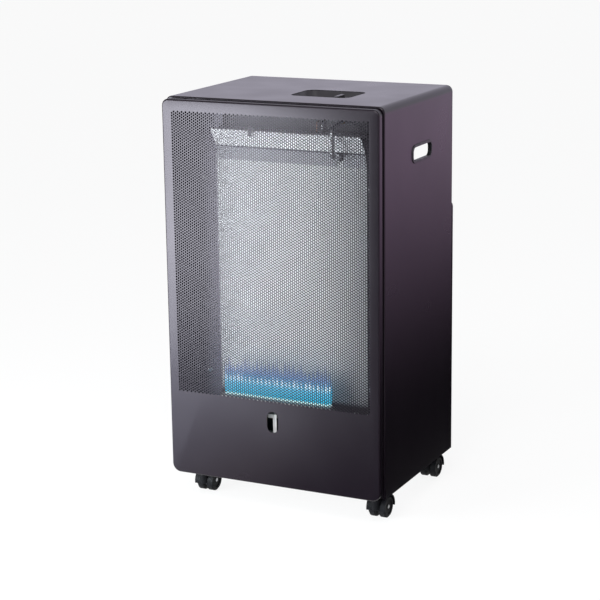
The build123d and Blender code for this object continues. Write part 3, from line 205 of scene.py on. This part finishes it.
def metal(name, dark, light, low, high, stretch, grain=0.12, metallic=1.0, gloss=0.5, fades=()):
    """Rolled or drawn metal with grain along one axis.

    Each fade is (axis, start, end, colour at the end).
    """
    material, shader = new_material(name)
    shader.inputs["Metallic"].default_value = metallic
    shader.inputs["Specular IOR Level"].default_value = gloss
    streaks = object_noise(material, METAL_STREAKS, stretch, STREAK_DETAIL)
    patches = object_noise(material, METAL_PATCHES)
    colour = blend(material, ramp(material, patches, 0, 1), dark, light)
    for axis, start, end, there in fades:
        colour = blend(material, along(material, axis, start, end), colour, there)
    link(material, colour, shader.inputs["Base Color"])
    link(material, ramp(material, streaks, low, high), shader.inputs["Roughness"])
    bump(material, shader, streaks, grain)
    return material


def plastic(name, dark, light, low, high, grain, gloss=0.5):
    """Moulded plastic with a fine grain."""
    material, shader = new_material(name)
    shader.inputs["Specular IOR Level"].default_value = gloss
    patches = ramp(material, object_noise(material, PLASTIC_PATCHES), 0, 1)
    link(material, blend(material, patches, dark, light), shader.inputs["Base Color"])
    sheen = ramp(material, object_noise(material, PLASTIC_SHEEN), low, high)
    link(material, sheen, shader.inputs["Roughness"])
    bump(material, shader, object_noise(material, PLASTIC_GRAIN), grain)
    return material


cabinet_paint = paint(
    "cabinet_paint", (0.003, 0.0018, 0.0033), (0.007, 0.0045, 0.0075), 0.27, 0.32
)
black_plastic = plastic(
    "black_plastic", (0.005, 0.006, 0.008), (0.010, 0.011, 0.014), 0.42, 0.55, 0.12
)
tray_plastic = plastic(
    "tray_plastic", (0.020, 0.018, 0.022), (0.032, 0.029, 0.035), 0.45, 0.58, 0.08, gloss=0.3
)
knob_plastic = plastic(
    "knob_plastic", (0.006, 0.005, 0.007), (0.012, 0.011, 0.014), 0.30, 0.42, 0.05
)
caster_plastic = plastic(
    "caster_plastic", (0.004, 0.004, 0.005), (0.008, 0.008, 0.010), 0.40, 0.55, 0.08, gloss=0.08
)
wheel_plastic = plastic(
    "wheel_plastic", (0.005, 0.005, 0.006), (0.010, 0.010, 0.012), 0.50, 0.65, 0.10, gloss=0.10
)

# Painted shade in the reflector's colour: darker toward its right end, and nearly black from just
# under the burner's top.
PAINTED_SHADE_STARTS, PAINTED_SHADE_FULL = 1 * MM, 12 * MM
burner_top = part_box("burner_bar")[1][2]
reflector_steel = metal(
    "reflector_steel", (0.57, 0.59, 0.60), (0.62, 0.64, 0.65), 0.50, 0.60, GRAIN_UP_LONG,
    grain=0.03, metallic=0.0,
    fades=(
        ("X", 0.03, 0.20, (0.24, 0.25, 0.27)),
        ("Z", burner_top - PAINTED_SHADE_STARTS, burner_top - PAINTED_SHADE_FULL, (0.012, 0.012, 0.014)),
    ),
)
bracket_steel = metal(
    "bracket_steel", (0.88, 0.88, 0.89), (0.94, 0.94, 0.95), 0.28, 0.38, GRAIN_UP, metallic=0.0
)
# Painted shade: the rear partition and the top heat shield are zinc steel given dark colours for
# the unlit spaces they stand in.
partition_painted_shade_steel = metal(
    "partition_painted_shade_steel", (0.045, 0.044, 0.052), (0.070, 0.068, 0.080), 0.50, 0.62, GRAIN_ACROSS,
    metallic=0.0,
)
shadow_steel = metal(
    "shadow_steel", (0.07, 0.065, 0.08), (0.11, 0.105, 0.12), 0.50, 0.62, GRAIN_ACROSS
)

# The white band's seam: its height over the reflector, how far from it the seam's painted shadow
# ends and is full, and half the step from strip to band. Then the depth of the hook at the front,
# with its blur.
SEAM_RISE = 14.0 * MM
SEAM_SHADOW_EDGE = 2.2 * MM
SEAM_SHADOW_CORE = 1.0 * MM
SEAM_STEP = 0.5 * MM
HOOK_DEPTH = 4.0 * MM
HOOK_BLUR = 0.2 * MM
SEAM_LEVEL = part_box("back_reflector")[1][2] + SEAM_RISE


def band_metal():
    """White-coated sloping band; the strip under its seam is greyer, the seam a painted shadow
    line.
    """
    material, shader = new_material("band_steel")
    shader.inputs["Roughness"].default_value = 0.5
    patches = ramp(material, object_noise(material, BAND_PATCHES), 0, 1)
    strip = blend(material, patches, (0.26, 0.27, 0.30), (0.32, 0.33, 0.36))
    band = blend(material, patches, (0.84, 0.85, 0.87), (0.90, 0.91, 0.92))
    # Painted shade: the band's colour darkens toward its right end.
    band = blend(material, along(material, "X", 0.02, 0.19), band, (0.58, 0.59, 0.62))
    above = along(material, "Z", SEAM_LEVEL - SEAM_STEP, SEAM_LEVEL + SEAM_STEP)
    both = blend(material, above, strip, band)
    # Painted shadow: the seam is a dark line in the colour, standing for the shade under the band's
    # lip.
    under = along(material, "Z", SEAM_LEVEL - SEAM_SHADOW_EDGE, SEAM_LEVEL - SEAM_SHADOW_CORE)
    over = along(material, "Z", SEAM_LEVEL + SEAM_SHADOW_EDGE, SEAM_LEVEL + SEAM_SHADOW_CORE)
    seam = add_node(material, "ShaderNodeMath", operation="MULTIPLY")
    link(material, under, seam.inputs[0])
    link(material, over, seam.inputs[1])
    seamed = blend(material, seam.outputs[0], both, (0.05, 0.05, 0.07))
    hook_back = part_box("top_deflector")[0][1] + HOOK_DEPTH
    hook = along(material, "Y", hook_back + HOOK_BLUR, hook_back - HOOK_BLUR)
    link(material, blend(material, hook, seamed, (0.04, 0.04, 0.05)), shader.inputs["Base Color"])
    streaks = object_noise(material, BAND_STREAKS, GRAIN_ACROSS, STREAK_DETAIL)
    bump(material, shader, streaks, 0.1)
    return material


band_steel = band_metal()

# Both side walls are painted nearly black for the chamber's shade. The left wall's colour gets
# lighter over the rear part of its depth, a painted reflection of the back reflector.
WALL_SHADE_DARK, WALL_SHADE_PALE, WALL_PAINTED_REFLECTION = (0.012, 0.012, 0.016), (0.024, 0.024, 0.030), (0.22, 0.21, 0.26)
PAINTED_REFLECTION_FROM = 0.55
wall_front, wall_rear = (corner[1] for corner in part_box("side_reflector_left"))
painted_reflection_start = wall_front + PAINTED_REFLECTION_FROM * (wall_rear - wall_front)
wall_steel = metal(
    "wall_steel", WALL_SHADE_DARK, WALL_SHADE_PALE, 0.40, 0.52, GRAIN_UP_LONG,
    grain=0.05, metallic=0.0, gloss=0.15, fades=(("Y", painted_reflection_start, wall_rear, WALL_PAINTED_REFLECTION),),
)
# The right wall, in shade, is the same painted-dark steel without the left wall's painted
# reflection.
far_wall_painted_shade = metal(
    "far_wall_painted_shade", WALL_SHADE_DARK, WALL_SHADE_PALE, 0.40, 0.52, GRAIN_UP_LONG,
    grain=0.05, metallic=0.0, gloss=0.15,
)
zinc_steel = metal(
    "zinc_steel", (0.42, 0.43, 0.45), (0.56, 0.57, 0.58), 0.38, 0.55, GRAIN_ACROSS
)
burner_steel = metal(
    "burner_steel", (0.30, 0.28, 0.27), (0.42, 0.40, 0.38), 0.45, 0.60, GRAIN_ACROSS
)
tube_metal = metal("tube_metal", (0.60, 0.60, 0.62), (0.70, 0.70, 0.72), 0.18, 0.30, GRAIN_UP)
brass = metal("brass", (0.60, 0.43, 0.18), (0.74, 0.56, 0.28), 0.25, 0.38, GRAIN_UP_SHORT)
copper = metal("copper", (0.20, 0.13, 0.10), (0.28, 0.18, 0.14), 0.28, 0.40, GRAIN_UP_SHORT)
ceramic = plastic("ceramic", (0.78, 0.76, 0.72), (0.86, 0.84, 0.80), 0.18, 0.28, 0.02)
lead_sleeve = plastic("lead_sleeve", (0.34, 0.05, 0.03), (0.44, 0.07, 0.04), 0.45, 0.60, 0.05)


def dress(material, *names):
    """Give whole CAD nodes one material."""
    for name in names:
        mesh = nodes[name].data
        mesh.materials.clear()
        mesh.materials.append(material)


corners = ("front_left", "front_right", "rear_left", "rear_right")
dress(cabinet_paint, "cabinet_shell", "rear_cover")
dress(tray_plastic, "control_tray")
dress(black_plastic, "handle_insert_left", "handle_insert_right", "igniter_body")
dress(knob_plastic, "control_knob", "igniter_button")
dress(caster_plastic, *[f"caster_hood_{corner}" for corner in corners])
dress(wheel_plastic, *[f"caster_wheel_{corner}_{side}" for corner in corners for side in "ab"])
dress(zinc_steel, *[f"caster_stem_{corner}" for corner in corners])
dress(zinc_steel, *[f"caster_axle_{corner}" for corner in corners])
dress(
    zinc_steel, "caster_sockets", "base_tray", "chamber_floor", "burner_bracket_left",
    "burner_bracket_right", "injector_bracket", "valve_spindle", "panel_screws", "valve_screws",
    "reflector_screws",
)
dress(reflector_steel, "back_reflector")
dress(bracket_steel, "pilot_bracket")
dress(band_steel, "top_deflector")
dress(wall_steel, "side_reflector_left")
dress(far_wall_painted_shade, "side_reflector_right")
dress(shadow_steel, "top_heat_shield")
dress(partition_painted_shade_steel, "rear_partition")
dress(burner_steel, "burner_bar", "burner_venturi", "thermocouple")
dress(tube_metal, "main_gas_pipe", "pilot_gas_pipe")
dress(brass, "gas_valve", "valve_plunger", "hose_nozzle", "gas_injector", "pilot_burner")
dress(copper, "thermocouple_lead")
dress(ceramic, "spark_electrode")
dress(lead_sleeve, "ignition_lead")


# ---------------------------------------------------------------- mesh helpers
# Edges sharper than this, in degrees, stay sharp on the CAD nodes and on the front panel.
NODE_SHARP = 32
PANEL_SHARP = 30


def finish_piece(name, mesh, material, body):
    """Link a mesh as a piece that rides on a body."""
    piece = bpy.data.objects.new(name, mesh)
    bpy.context.scene.collection.objects.link(piece)
    mesh.materials.append(material)
    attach(piece, body)
    return piece


def shade(mesh, angle):
    """Smooth a mesh's curved faces and keep edges sharper than the angle."""
    mesh.shade_smooth()
    mesh.set_sharp_from_angle(angle=math.radians(angle))


for node_name, node in nodes.items():
    if node_name != "front_panel":
        shade(node.data, NODE_SHARP)


# ---------------------------------------------------------------- perforated front panel
# The slot's centre and the field's bottom are over the cabinet's bottom, the field's side and top
# inside the panel's. The hole's octagon reaches a little over the round hole that it stands for.
SHEET = 1.0 * MM
EDGE_ROLL = 3.0 * MM
ROLL_STEPS = 5
PANEL_DEPTH = 14.0 * MM
RETURN_WIDTH = 9.0 * MM
TOP_RADIUS = 12.0 * MM
BOTTOM_RADIUS = 16.0 * MM
RETURN_CHAMFER = 0.3 * SHEET
HOLE_RADIUS = 1.84 * MM
OCTAGON_REACH = 1.03
HOLE_COLUMNS = 3.95 * MM
HOLE_ROWS = 4.90 * MM
FIELD_SIDE = 17.8 * MM
FIELD_TOP = 18.0 * MM
FIELD_BOTTOM = 154.5 * MM
SLOT_WIDTH = 22.0 * MM
SLOT_HEIGHT = 39.0 * MM
SLOT_CENTRE = 120.0 * MM
SAME_PLANE = 1e-6
PER_MICRON = 1e6
panel_low, panel_high = (Vector(corner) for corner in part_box("front_panel"))
panel_front = panel_low.y
cabinet_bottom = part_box("cabinet_shell")[0][2]


def panel_ring(inset, y, steps=8):
    """Rounded outline of the panel, smaller by inset, anticlockwise seen from the front."""
    half = panel_high.x - inset
    low, high = panel_low.z + inset, panel_high.z - inset
    points = []
    for side, level, radius, start in (
        (1, low, BOTTOM_RADIUS, -90), (1, high, TOP_RADIUS, 0),
        (-1, high, TOP_RADIUS, 90), (-1, low, BOTTOM_RADIUS, 180),
    ):
        bend = radius - inset
        centre_x = side * (half - bend)
        centre_z = level + (bend if level == low else -bend)
        for step in range(steps + 1):
            angle = math.radians(start + 90 * step / steps)
            points.append((centre_x + bend * math.cos(angle), y, centre_z + bend * math.sin(angle)))
    return points


def slot_ring(y, steps=12):
    """Outline of the viewing slot."""
    radius = SLOT_WIDTH / 2
    reach = SLOT_HEIGHT / 2 - radius
    centre = cabinet_bottom + SLOT_CENTRE
    points = []
    for direction, start in ((1, 0), (-1, 180)):
        for step in range(steps + 1):
            angle = math.radians(start + 180 * step / steps)
            points.append(
                (radius * math.cos(angle), y, centre + direction * reach + radius * math.sin(angle))
            )
    return points


def hole_field():
    """Vertices and faces of the staggered round holes, front, back and walls.

    One hexagonal cell round an octagonal hole is repeated. Corners 0 to 5 of its tile are the
    cell's and 6 to 13 the hole's; the same corners of the back come 14 later.
    """
    span_x = 2 * (panel_high.x - FIELD_SIDE)
    bottom = cabinet_bottom + FIELD_BOTTOM
    span_z = panel_high.z - FIELD_TOP - bottom
    columns = int(span_x / HOLE_COLUMNS)
    rows = int(span_z / HOLE_ROWS)
    first_x = -(columns - 1) / 2 * HOLE_COLUMNS
    first_z = bottom + (span_z - rows * HOLE_ROWS) / 2 + HOLE_ROWS / 4
    near = (HOLE_COLUMNS**2 - HOLE_ROWS**2 / 4) / (2 * HOLE_COLUMNS)
    far = HOLE_COLUMNS - near
    half_row = HOLE_ROWS / 2
    cell = [
        (far, 0), (near, half_row), (-near, half_row),
        (-far, 0), (-near, -half_row), (near, -half_row),
    ]
    radius = HOLE_RADIUS * OCTAGON_REACH
    ring = [
        (radius * math.cos(math.radians(45 * k)), radius * math.sin(math.radians(45 * k)))
        for k in range(8)
    ]
    tile = np.array([(x, 0, z) for x, z in cell + ring])
    tile = np.vstack([tile, tile + (0, SHEET, 0)])
    front = [
        (6, 7, 1, 0), (7, 8, 9, 2, 1), (9, 10, 3, 2),
        (10, 11, 4, 3), (11, 12, 13, 5, 4), (13, 6, 0, 5),
    ]
    back = [tuple(14 + index for index in reversed(face)) for face in front]
    walls = [(6 + (k + 1) % 8, 6 + k, 20 + k, 20 + (k + 1) % 8) for k in range(8)]
    pattern = front + back + walls
    tiles, faces = [], []
    for column in range(columns):
        lift = half_row * (column % 2)
        for row in range(rows):
            start = len(tiles) * len(tile)
            place = (first_x + column * HOLE_COLUMNS, panel_front, first_z + row * HOLE_ROWS + lift)
            tiles.append(tile + place)
            faces.extend(tuple(start + index for index in face) for face in pattern)
    # Corners that neighbouring cells share become one.
    microns = np.round(np.vstack(tiles) * PER_MICRON).astype(np.int64)
    shared, index = np.unique(microns, axis=0, return_inverse=True)
    index = index.ravel()
    return shared / PER_MICRON, [tuple(int(index[v]) for v in face) for face in faces]


def front_panel():
    """Pressed panel with rolled edges, a return all round, the viewing slot and the hole field."""
    roll = [math.radians(90 * step / ROLL_STEPS) for step in range(ROLL_STEPS + 1)]
    profile = [
        (EDGE_ROLL * (1 - math.sin(a)), EDGE_ROLL * (1 - math.cos(a))) for a in roll
    ]
    profile += [
        (0, PANEL_DEPTH - SHEET), (RETURN_CHAMFER, PANEL_DEPTH), (RETURN_WIDTH, PANEL_DEPTH),
        (RETURN_WIDTH, PANEL_DEPTH - SHEET), (SHEET, PANEL_DEPTH - SHEET),
    ]
    inner = EDGE_ROLL - SHEET
    profile += [
        (SHEET + inner * (1 - math.sin(a)), SHEET + inner * (1 - math.cos(a)))
        for a in reversed(roll)
    ]
    points, faces = hole_field()
    verts = [tuple(point) for point in points]
    rings = [panel_ring(inset, panel_front + y) for inset, y in profile]
    count = len(rings[0])
    base = len(verts)
    for ring in rings:
        verts.extend(ring)
    for level in range(len(rings) - 1):
        for k in range(count):
            after = (k + 1) % count
            faces.append(
                (base + level * count + k, base + level * count + after,
                 base + (level + 1) * count + after, base + (level + 1) * count + k)
            )
    base = len(verts)
    slot_front, slot_back = slot_ring(panel_front), slot_ring(panel_front + SHEET)
    verts.extend(slot_front + slot_back)
    count = len(slot_front)
    for k in range(count):
        after = (k + 1) % count
        faces.append((base + after, base + k, base + count + k, base + count + after))
    mesh = bpy.data.meshes.new("front_panel_pressing")
    mesh.from_pydata(verts, [], faces)
    # The faces round the field and the slot are filled in, front and back.
    work = bmesh.new()
    work.from_mesh(mesh)
    for y, normal in ((panel_front, (0, -1, 0)), (panel_front + SHEET, (0, 1, 0))):
        open_edges = [
            edge for edge in work.edges
            if len(edge.link_faces) == 1 and all(abs(v.co.y - y) < SAME_PLANE for v in edge.verts)
        ]
        bmesh.ops.triangle_fill(work, edges=open_edges, use_beauty=True, normal=normal)
    bmesh.ops.recalc_face_normals(work, faces=work.faces)
    work.to_mesh(mesh)
    work.free()
    shade(mesh, PANEL_SHARP)
    piece = finish_piece("front_panel_pressing", mesh, cabinet_paint, "cabinet")
    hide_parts("front_panel")


front_panel()


# ---------------------------------------------------------------- flames
FLAME_HEIGHT = 78.0 * MM
FLAME_WIDTH = 9.5 * MM
CONE_HEIGHT = 42.0 * MM
CONE_WIDTH = 5.5 * MM
FLAME_PITCH = 8.0 * MM
FLAME_ROW = 2.6 * MM
FLAME_LIFT = 0.5 * MM
FLAME_SWAY = 0.8 * MM
TIP_RADIUS = 0.12 * MM
FLATNESS = 0.7
FOOT_SWELL = 0.18
SWELL_POWER = 0.8
BURNER_ENDS = 10.0 * MM
burner_low, burner_high = (Vector(corner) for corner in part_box("burner_bar"))
flame_foot = burner_high.z


def flame_material(name, height, colours, densities, strength):
    """Glowing gas: colour and density by height above the burner, clear where there is none."""
    material = bpy.data.materials.new(name)
    material.use_nodes = True
    material.node_tree.nodes.clear()
    output = add_node(material, "ShaderNodeOutputMaterial")
    mix = add_node(material, "ShaderNodeMixShader")
    clear = add_node(material, "ShaderNodeBsdfTransparent")
    glow = add_node(material, "ShaderNodeEmission", Strength=strength)
    coords = add_node(material, "ShaderNodeTexCoord")
    split = add_node(material, "ShaderNodeSeparateXYZ")
    level = add_node(
        material, "ShaderNodeMapRange", From_Min=flame_foot, From_Max=flame_foot + height
    )
    link(material, coords.outputs["Object"], split.inputs["Vector"])
    link(material, split.outputs["Z"], level.inputs["Value"])
    for stops, target in ((colours, glow.inputs["Color"]), (densities, mix.inputs["Fac"])):
        scale = add_node(material, "ShaderNodeValToRGB")
        steps = scale.color_ramp.elements
        while len(steps) < len(stops):
            steps.new(0.5)
        for step, (place, value) in zip(steps, stops):
            step.position = place
            step.color = (*value, 1) if isinstance(value, tuple) else (value, value, value, 1)
        link(material, level.outputs["Result"], scale.inputs["Fac"])
        link(material, scale.outputs["Color"], target)
    link(material, clear.outputs["BSDF"], mix.inputs[1])
    link(material, glow.outputs["Emission"], mix.inputs[2])
    link(material, mix.outputs["Shader"], output.inputs["Surface"])
    return material


def tongue(x, y, height, width, verts, faces, sides=8, levels=9):
    """One pointed flame tongue, widest a little below its middle."""
    start = len(verts)
    sway = random.uniform(-FLAME_SWAY, FLAME_SWAY)
    for level in range(levels):
        t = level / (levels - 1)
        swell = math.sin(math.pi * min(1.0, FOOT_SWELL + (1 - FOOT_SWELL) * t)) ** SWELL_POWER
        radius = max(TIP_RADIUS, width / 2 * swell)
        for side in range(sides):
            angle = 2 * math.pi * side / sides
            verts.append(
                (x + sway * t * t + radius * math.cos(angle),
                 y + FLATNESS * radius * math.sin(angle),
                 flame_foot + FLAME_LIFT + height * t)
            )
    for level in range(levels - 1):
        for side in range(sides):
            after = (side + 1) % sides
            low, high = start + level * sides, start + (level + 1) * sides
            faces.append((low + side, low + after, high + after, high + side))


def flame_piece(name, height, width, shortest, material):
    """Two staggered rows of tongues along the burner's ports, as one piece."""
    verts, faces = [], []
    middle = (burner_low.y + burner_high.y) / 2
    count = int((burner_high.x - burner_low.x - BURNER_ENDS) / FLAME_PITCH)
    first = (burner_low.x + burner_high.x) / 2 - (count - 1) / 2 * FLAME_PITCH
    for index in range(count):
        for row, lean in ((-FLAME_ROW, 0), (FLAME_ROW, FLAME_PITCH / 2)):
            tall = height * random.uniform(shortest, 1.0)
            tongue(first + index * FLAME_PITCH + lean, middle + row, tall, width, verts, faces)
    mesh = bpy.data.meshes.new(name)
    mesh.from_pydata(verts, [], faces)
    mesh.shade_smooth()
    finish_piece(name, mesh, material, "cabinet")


# Colours and densities by share of the flame's height.
mantle = flame_material(
    "flame_mantle", FLAME_HEIGHT,
    [
        (0.0, (0.80, 1.0, 1.0)), (0.035, (0.50, 0.95, 1.0)), (0.07, (0.02, 0.40, 0.62)),
        (0.38, (0.03, 0.38, 0.66)), (0.58, (0.20, 0.34, 0.66)), (1.0, (0.42, 0.42, 0.64)),
    ],
    [(0.0, 1.0), (0.07, 0.65), (0.30, 0.56), (0.62, 0.26), (1.0, 0.02)],
    strength=1.15,
)
cones = flame_material(
    "flame_cones", CONE_HEIGHT,
    [
        (0.0, (0.60, 0.97, 1.0)), (0.10, (0.03, 0.50, 0.78)), (0.55, (0.25, 0.66, 0.90)),
        (0.75, (0.90, 0.97, 1.0)), (1.0, (0.90, 0.96, 1.0)),
    ],
    [(0.0, 0.9), (0.15, 0.35), (0.50, 0.35), (0.72, 0.95), (1.0, 0.8)],
    strength=2.4,
)
flame_piece("burner_flames", FLAME_HEIGHT, FLAME_WIDTH, 0.72, mantle)
flame_piece("burner_flame_cones", CONE_HEIGHT, CONE_WIDTH, 0.84, cones)


# ---------------------------------------------------------------- floor, world, lamps and cards
FLOOR_SIZE = 60
FLOOR_TONE = 0.88
FLOOR_GLOW = 0.88
HORIZON_LIGHT, OVERHEAD_LIGHT = 1.0, 0.60
OVERHEAD_FROM = 0.6
BLACK = (0.01, 0.01, 0.012)
PLUM = (1.22, 0.86, 1.26)
PALE_PLUM = (1.02, 0.98, 1.16)
BRIGHT = (2.8, 3.1, 3.6)


def floor():
    """Plain pale floor, nearly white to the camera and keeping the object's shadow."""
    bpy.ops.mesh.primitive_plane_add(size=FLOOR_SIZE)
    plane = bpy.context.object
    plane.name = "floor"
    material, shader = new_material("floor")
    shader.inputs["Base Color"].default_value = (FLOOR_TONE, FLOOR_TONE, FLOOR_TONE, 1)
    shader.inputs["Roughness"].default_value = 0.8
    shader.inputs["Specular IOR Level"].default_value = 0.1
    glow = add_node(material, "ShaderNodeEmission", Color=(1, 1, 1, 1))
    mix = add_node(material, "ShaderNodeMixShader")
    path = add_node(material, "ShaderNodeLightPath")
    camera_or_glossy = add_node(material, "ShaderNodeMath", operation="ADD")
    seen = add_node(material, "ShaderNodeMath", operation="ADD", use_clamp=True)
    share = add_node(material, "ShaderNodeMath", operation="MULTIPLY")
    share.inputs[1].default_value = FLOOR_GLOW
    link(material, path.outputs["Is Camera Ray"], camera_or_glossy.inputs[0])
    link(material, path.outputs["Is Glossy Ray"], camera_or_glossy.inputs[1])
    link(material, camera_or_glossy.outputs[0], seen.inputs[0])
    link(material, path.outputs["Is Transmission Ray"], seen.inputs[1])
    link(material, seen.outputs[0], share.inputs[0])
    link(material, share.outputs[0], mix.inputs["Fac"])
    link(material, shader.outputs["BSDF"], mix.inputs[1])
    link(material, glow.outputs["Emission"], mix.inputs[2])
    output = material.node_tree.nodes["Material Output"]
    link(material, mix.outputs["Shader"], output.inputs["Surface"])
    plane.data.materials.append(material)


def world():
    """Soft studio light, brightest at the horizon and dimmer overhead."""
    backdrop = bpy.data.worlds.new("studio")
    bpy.context.scene.world = backdrop
    backdrop.use_nodes = True
    light = backdrop.node_tree.nodes["Background"]
    coords = add_node(backdrop, "ShaderNodeTexCoord")
    split = add_node(backdrop, "ShaderNodeSeparateXYZ")
    height = add_node(
        backdrop, "ShaderNodeMapRange",
        From_Min=0.0, From_Max=OVERHEAD_FROM, To_Min=HORIZON_LIGHT, To_Max=OVERHEAD_LIGHT,
    )
    link(backdrop, coords.outputs["Generated"], split.inputs["Vector"])
    link(backdrop, split.outputs["Z"], height.inputs["Value"])
    link(backdrop, height.outputs["Result"], light.inputs["Strength"])
    light.inputs["Color"].default_value = (0.97, 0.98, 1.0, 1)


def lamp(name, place, target, width, height, power, colour):
    """Rectangular soft lamp aimed at a point, not seen by the camera."""
    data = bpy.data.lights.new(name, "AREA")
    data.color = colour
    data.shape = "RECTANGLE"
    data.size, data.size_y = width, height
    data.energy = power
    lamp_object = bpy.data.objects.new(name, data)
    bpy.context.scene.collection.objects.link(lamp_object)
    lamp_object.location = place
    lamp_object.visible_camera = False
    aim = Vector(target) - Vector(place)
    lamp_object.rotation_euler = aim.to_track_quat("-Z", "Y").to_euler()


def card(name, edge, rise, axis, start, end, first, last):
    """Studio card that only reflections see; its glow goes from first to last along one axis.

    The card spans from its edge, two points, by its rise. A glow of None lets the rays through.
    """
    near, far = (Vector(point) for point in edge)
    verts = [near, far, far + Vector(rise), near + Vector(rise)]
    mesh = bpy.data.meshes.new(name)
    mesh.from_pydata(verts, [], [(0, 1, 2, 3)])
    sheet = bpy.data.objects.new(name, mesh)
    bpy.context.scene.collection.objects.link(sheet)
    material = bpy.data.materials.new(name)
    material.use_nodes = True
    mix = add_node(material, "ShaderNodeMixShader")
    for socket, glow in ((mix.inputs[1], first), (mix.inputs[2], last)):
        if glow:
            side = add_node(material, "ShaderNodeEmission", Color=(*glow, 1))
        else:
            side = add_node(material, "ShaderNodeBsdfTransparent")
        link(material, side.outputs[0], socket)
    link(material, along(material, axis, start, end), mix.inputs["Fac"])
    output = material.node_tree.nodes["Material Output"]
    link(material, mix.outputs["Shader"], output.inputs["Surface"])
    mesh.materials.append(material)
    sheet.visible_camera = False
    sheet.visible_diffuse = False
    sheet.visible_shadow = False
    sheet.visible_transmission = False


floor()
world()
# The right side's sheen goes from plum at its top to black at its foot.
card(
    "side_card", ((0.23, -0.30, 0.0), (0.23, 1.6, 0.0)), (0.55, 0.0, 0.66),
    "Z", 0.64, 0.10, PLUM, BLACK,
)
# Two black cards darken the front towards its right, and a bright one lightens its lower left.
card(
    "front_card", ((-0.30, -0.70, 0.0), (0.50, -0.70, 0.0)), (0.0, 0.0, 0.75),
    "X", -0.33, -0.04, None, BLACK,
)
card(
    "floor_card", ((-0.20, -0.24, 0.004), (0.50, -0.24, 0.004)), (0.0, -0.90, 0.0),
    "X", -0.17, 0.03, None, BLACK,
)
card(
    "glow_card", ((-1.30, -0.24, 0.006), (-0.14, -0.24, 0.006)), (0.0, -1.10, 0.0),
    "X", -0.12, -0.60, None, BRIGHT,
)
# The top's sheen.
card(
    "back_card", ((-3.5, 2.4, 0.35), (1.5, 2.4, 0.35)), (0.0, 0.5, 2.2),
    "Z", 0.35, 2.5, PALE_PLUM, PALE_PLUM,
)
lamp("left_front", (-0.70, -1.18, 0.40), (0, -0.2, 0.38), 0.84, 0.76, 39, (0.90, 0.97, 1.0))
lamp("high_front", (0.5, -1.9, 2.2), (0, 0, 0.4), 1.2, 0.8, 45, (1.0, 1.0, 1.0))
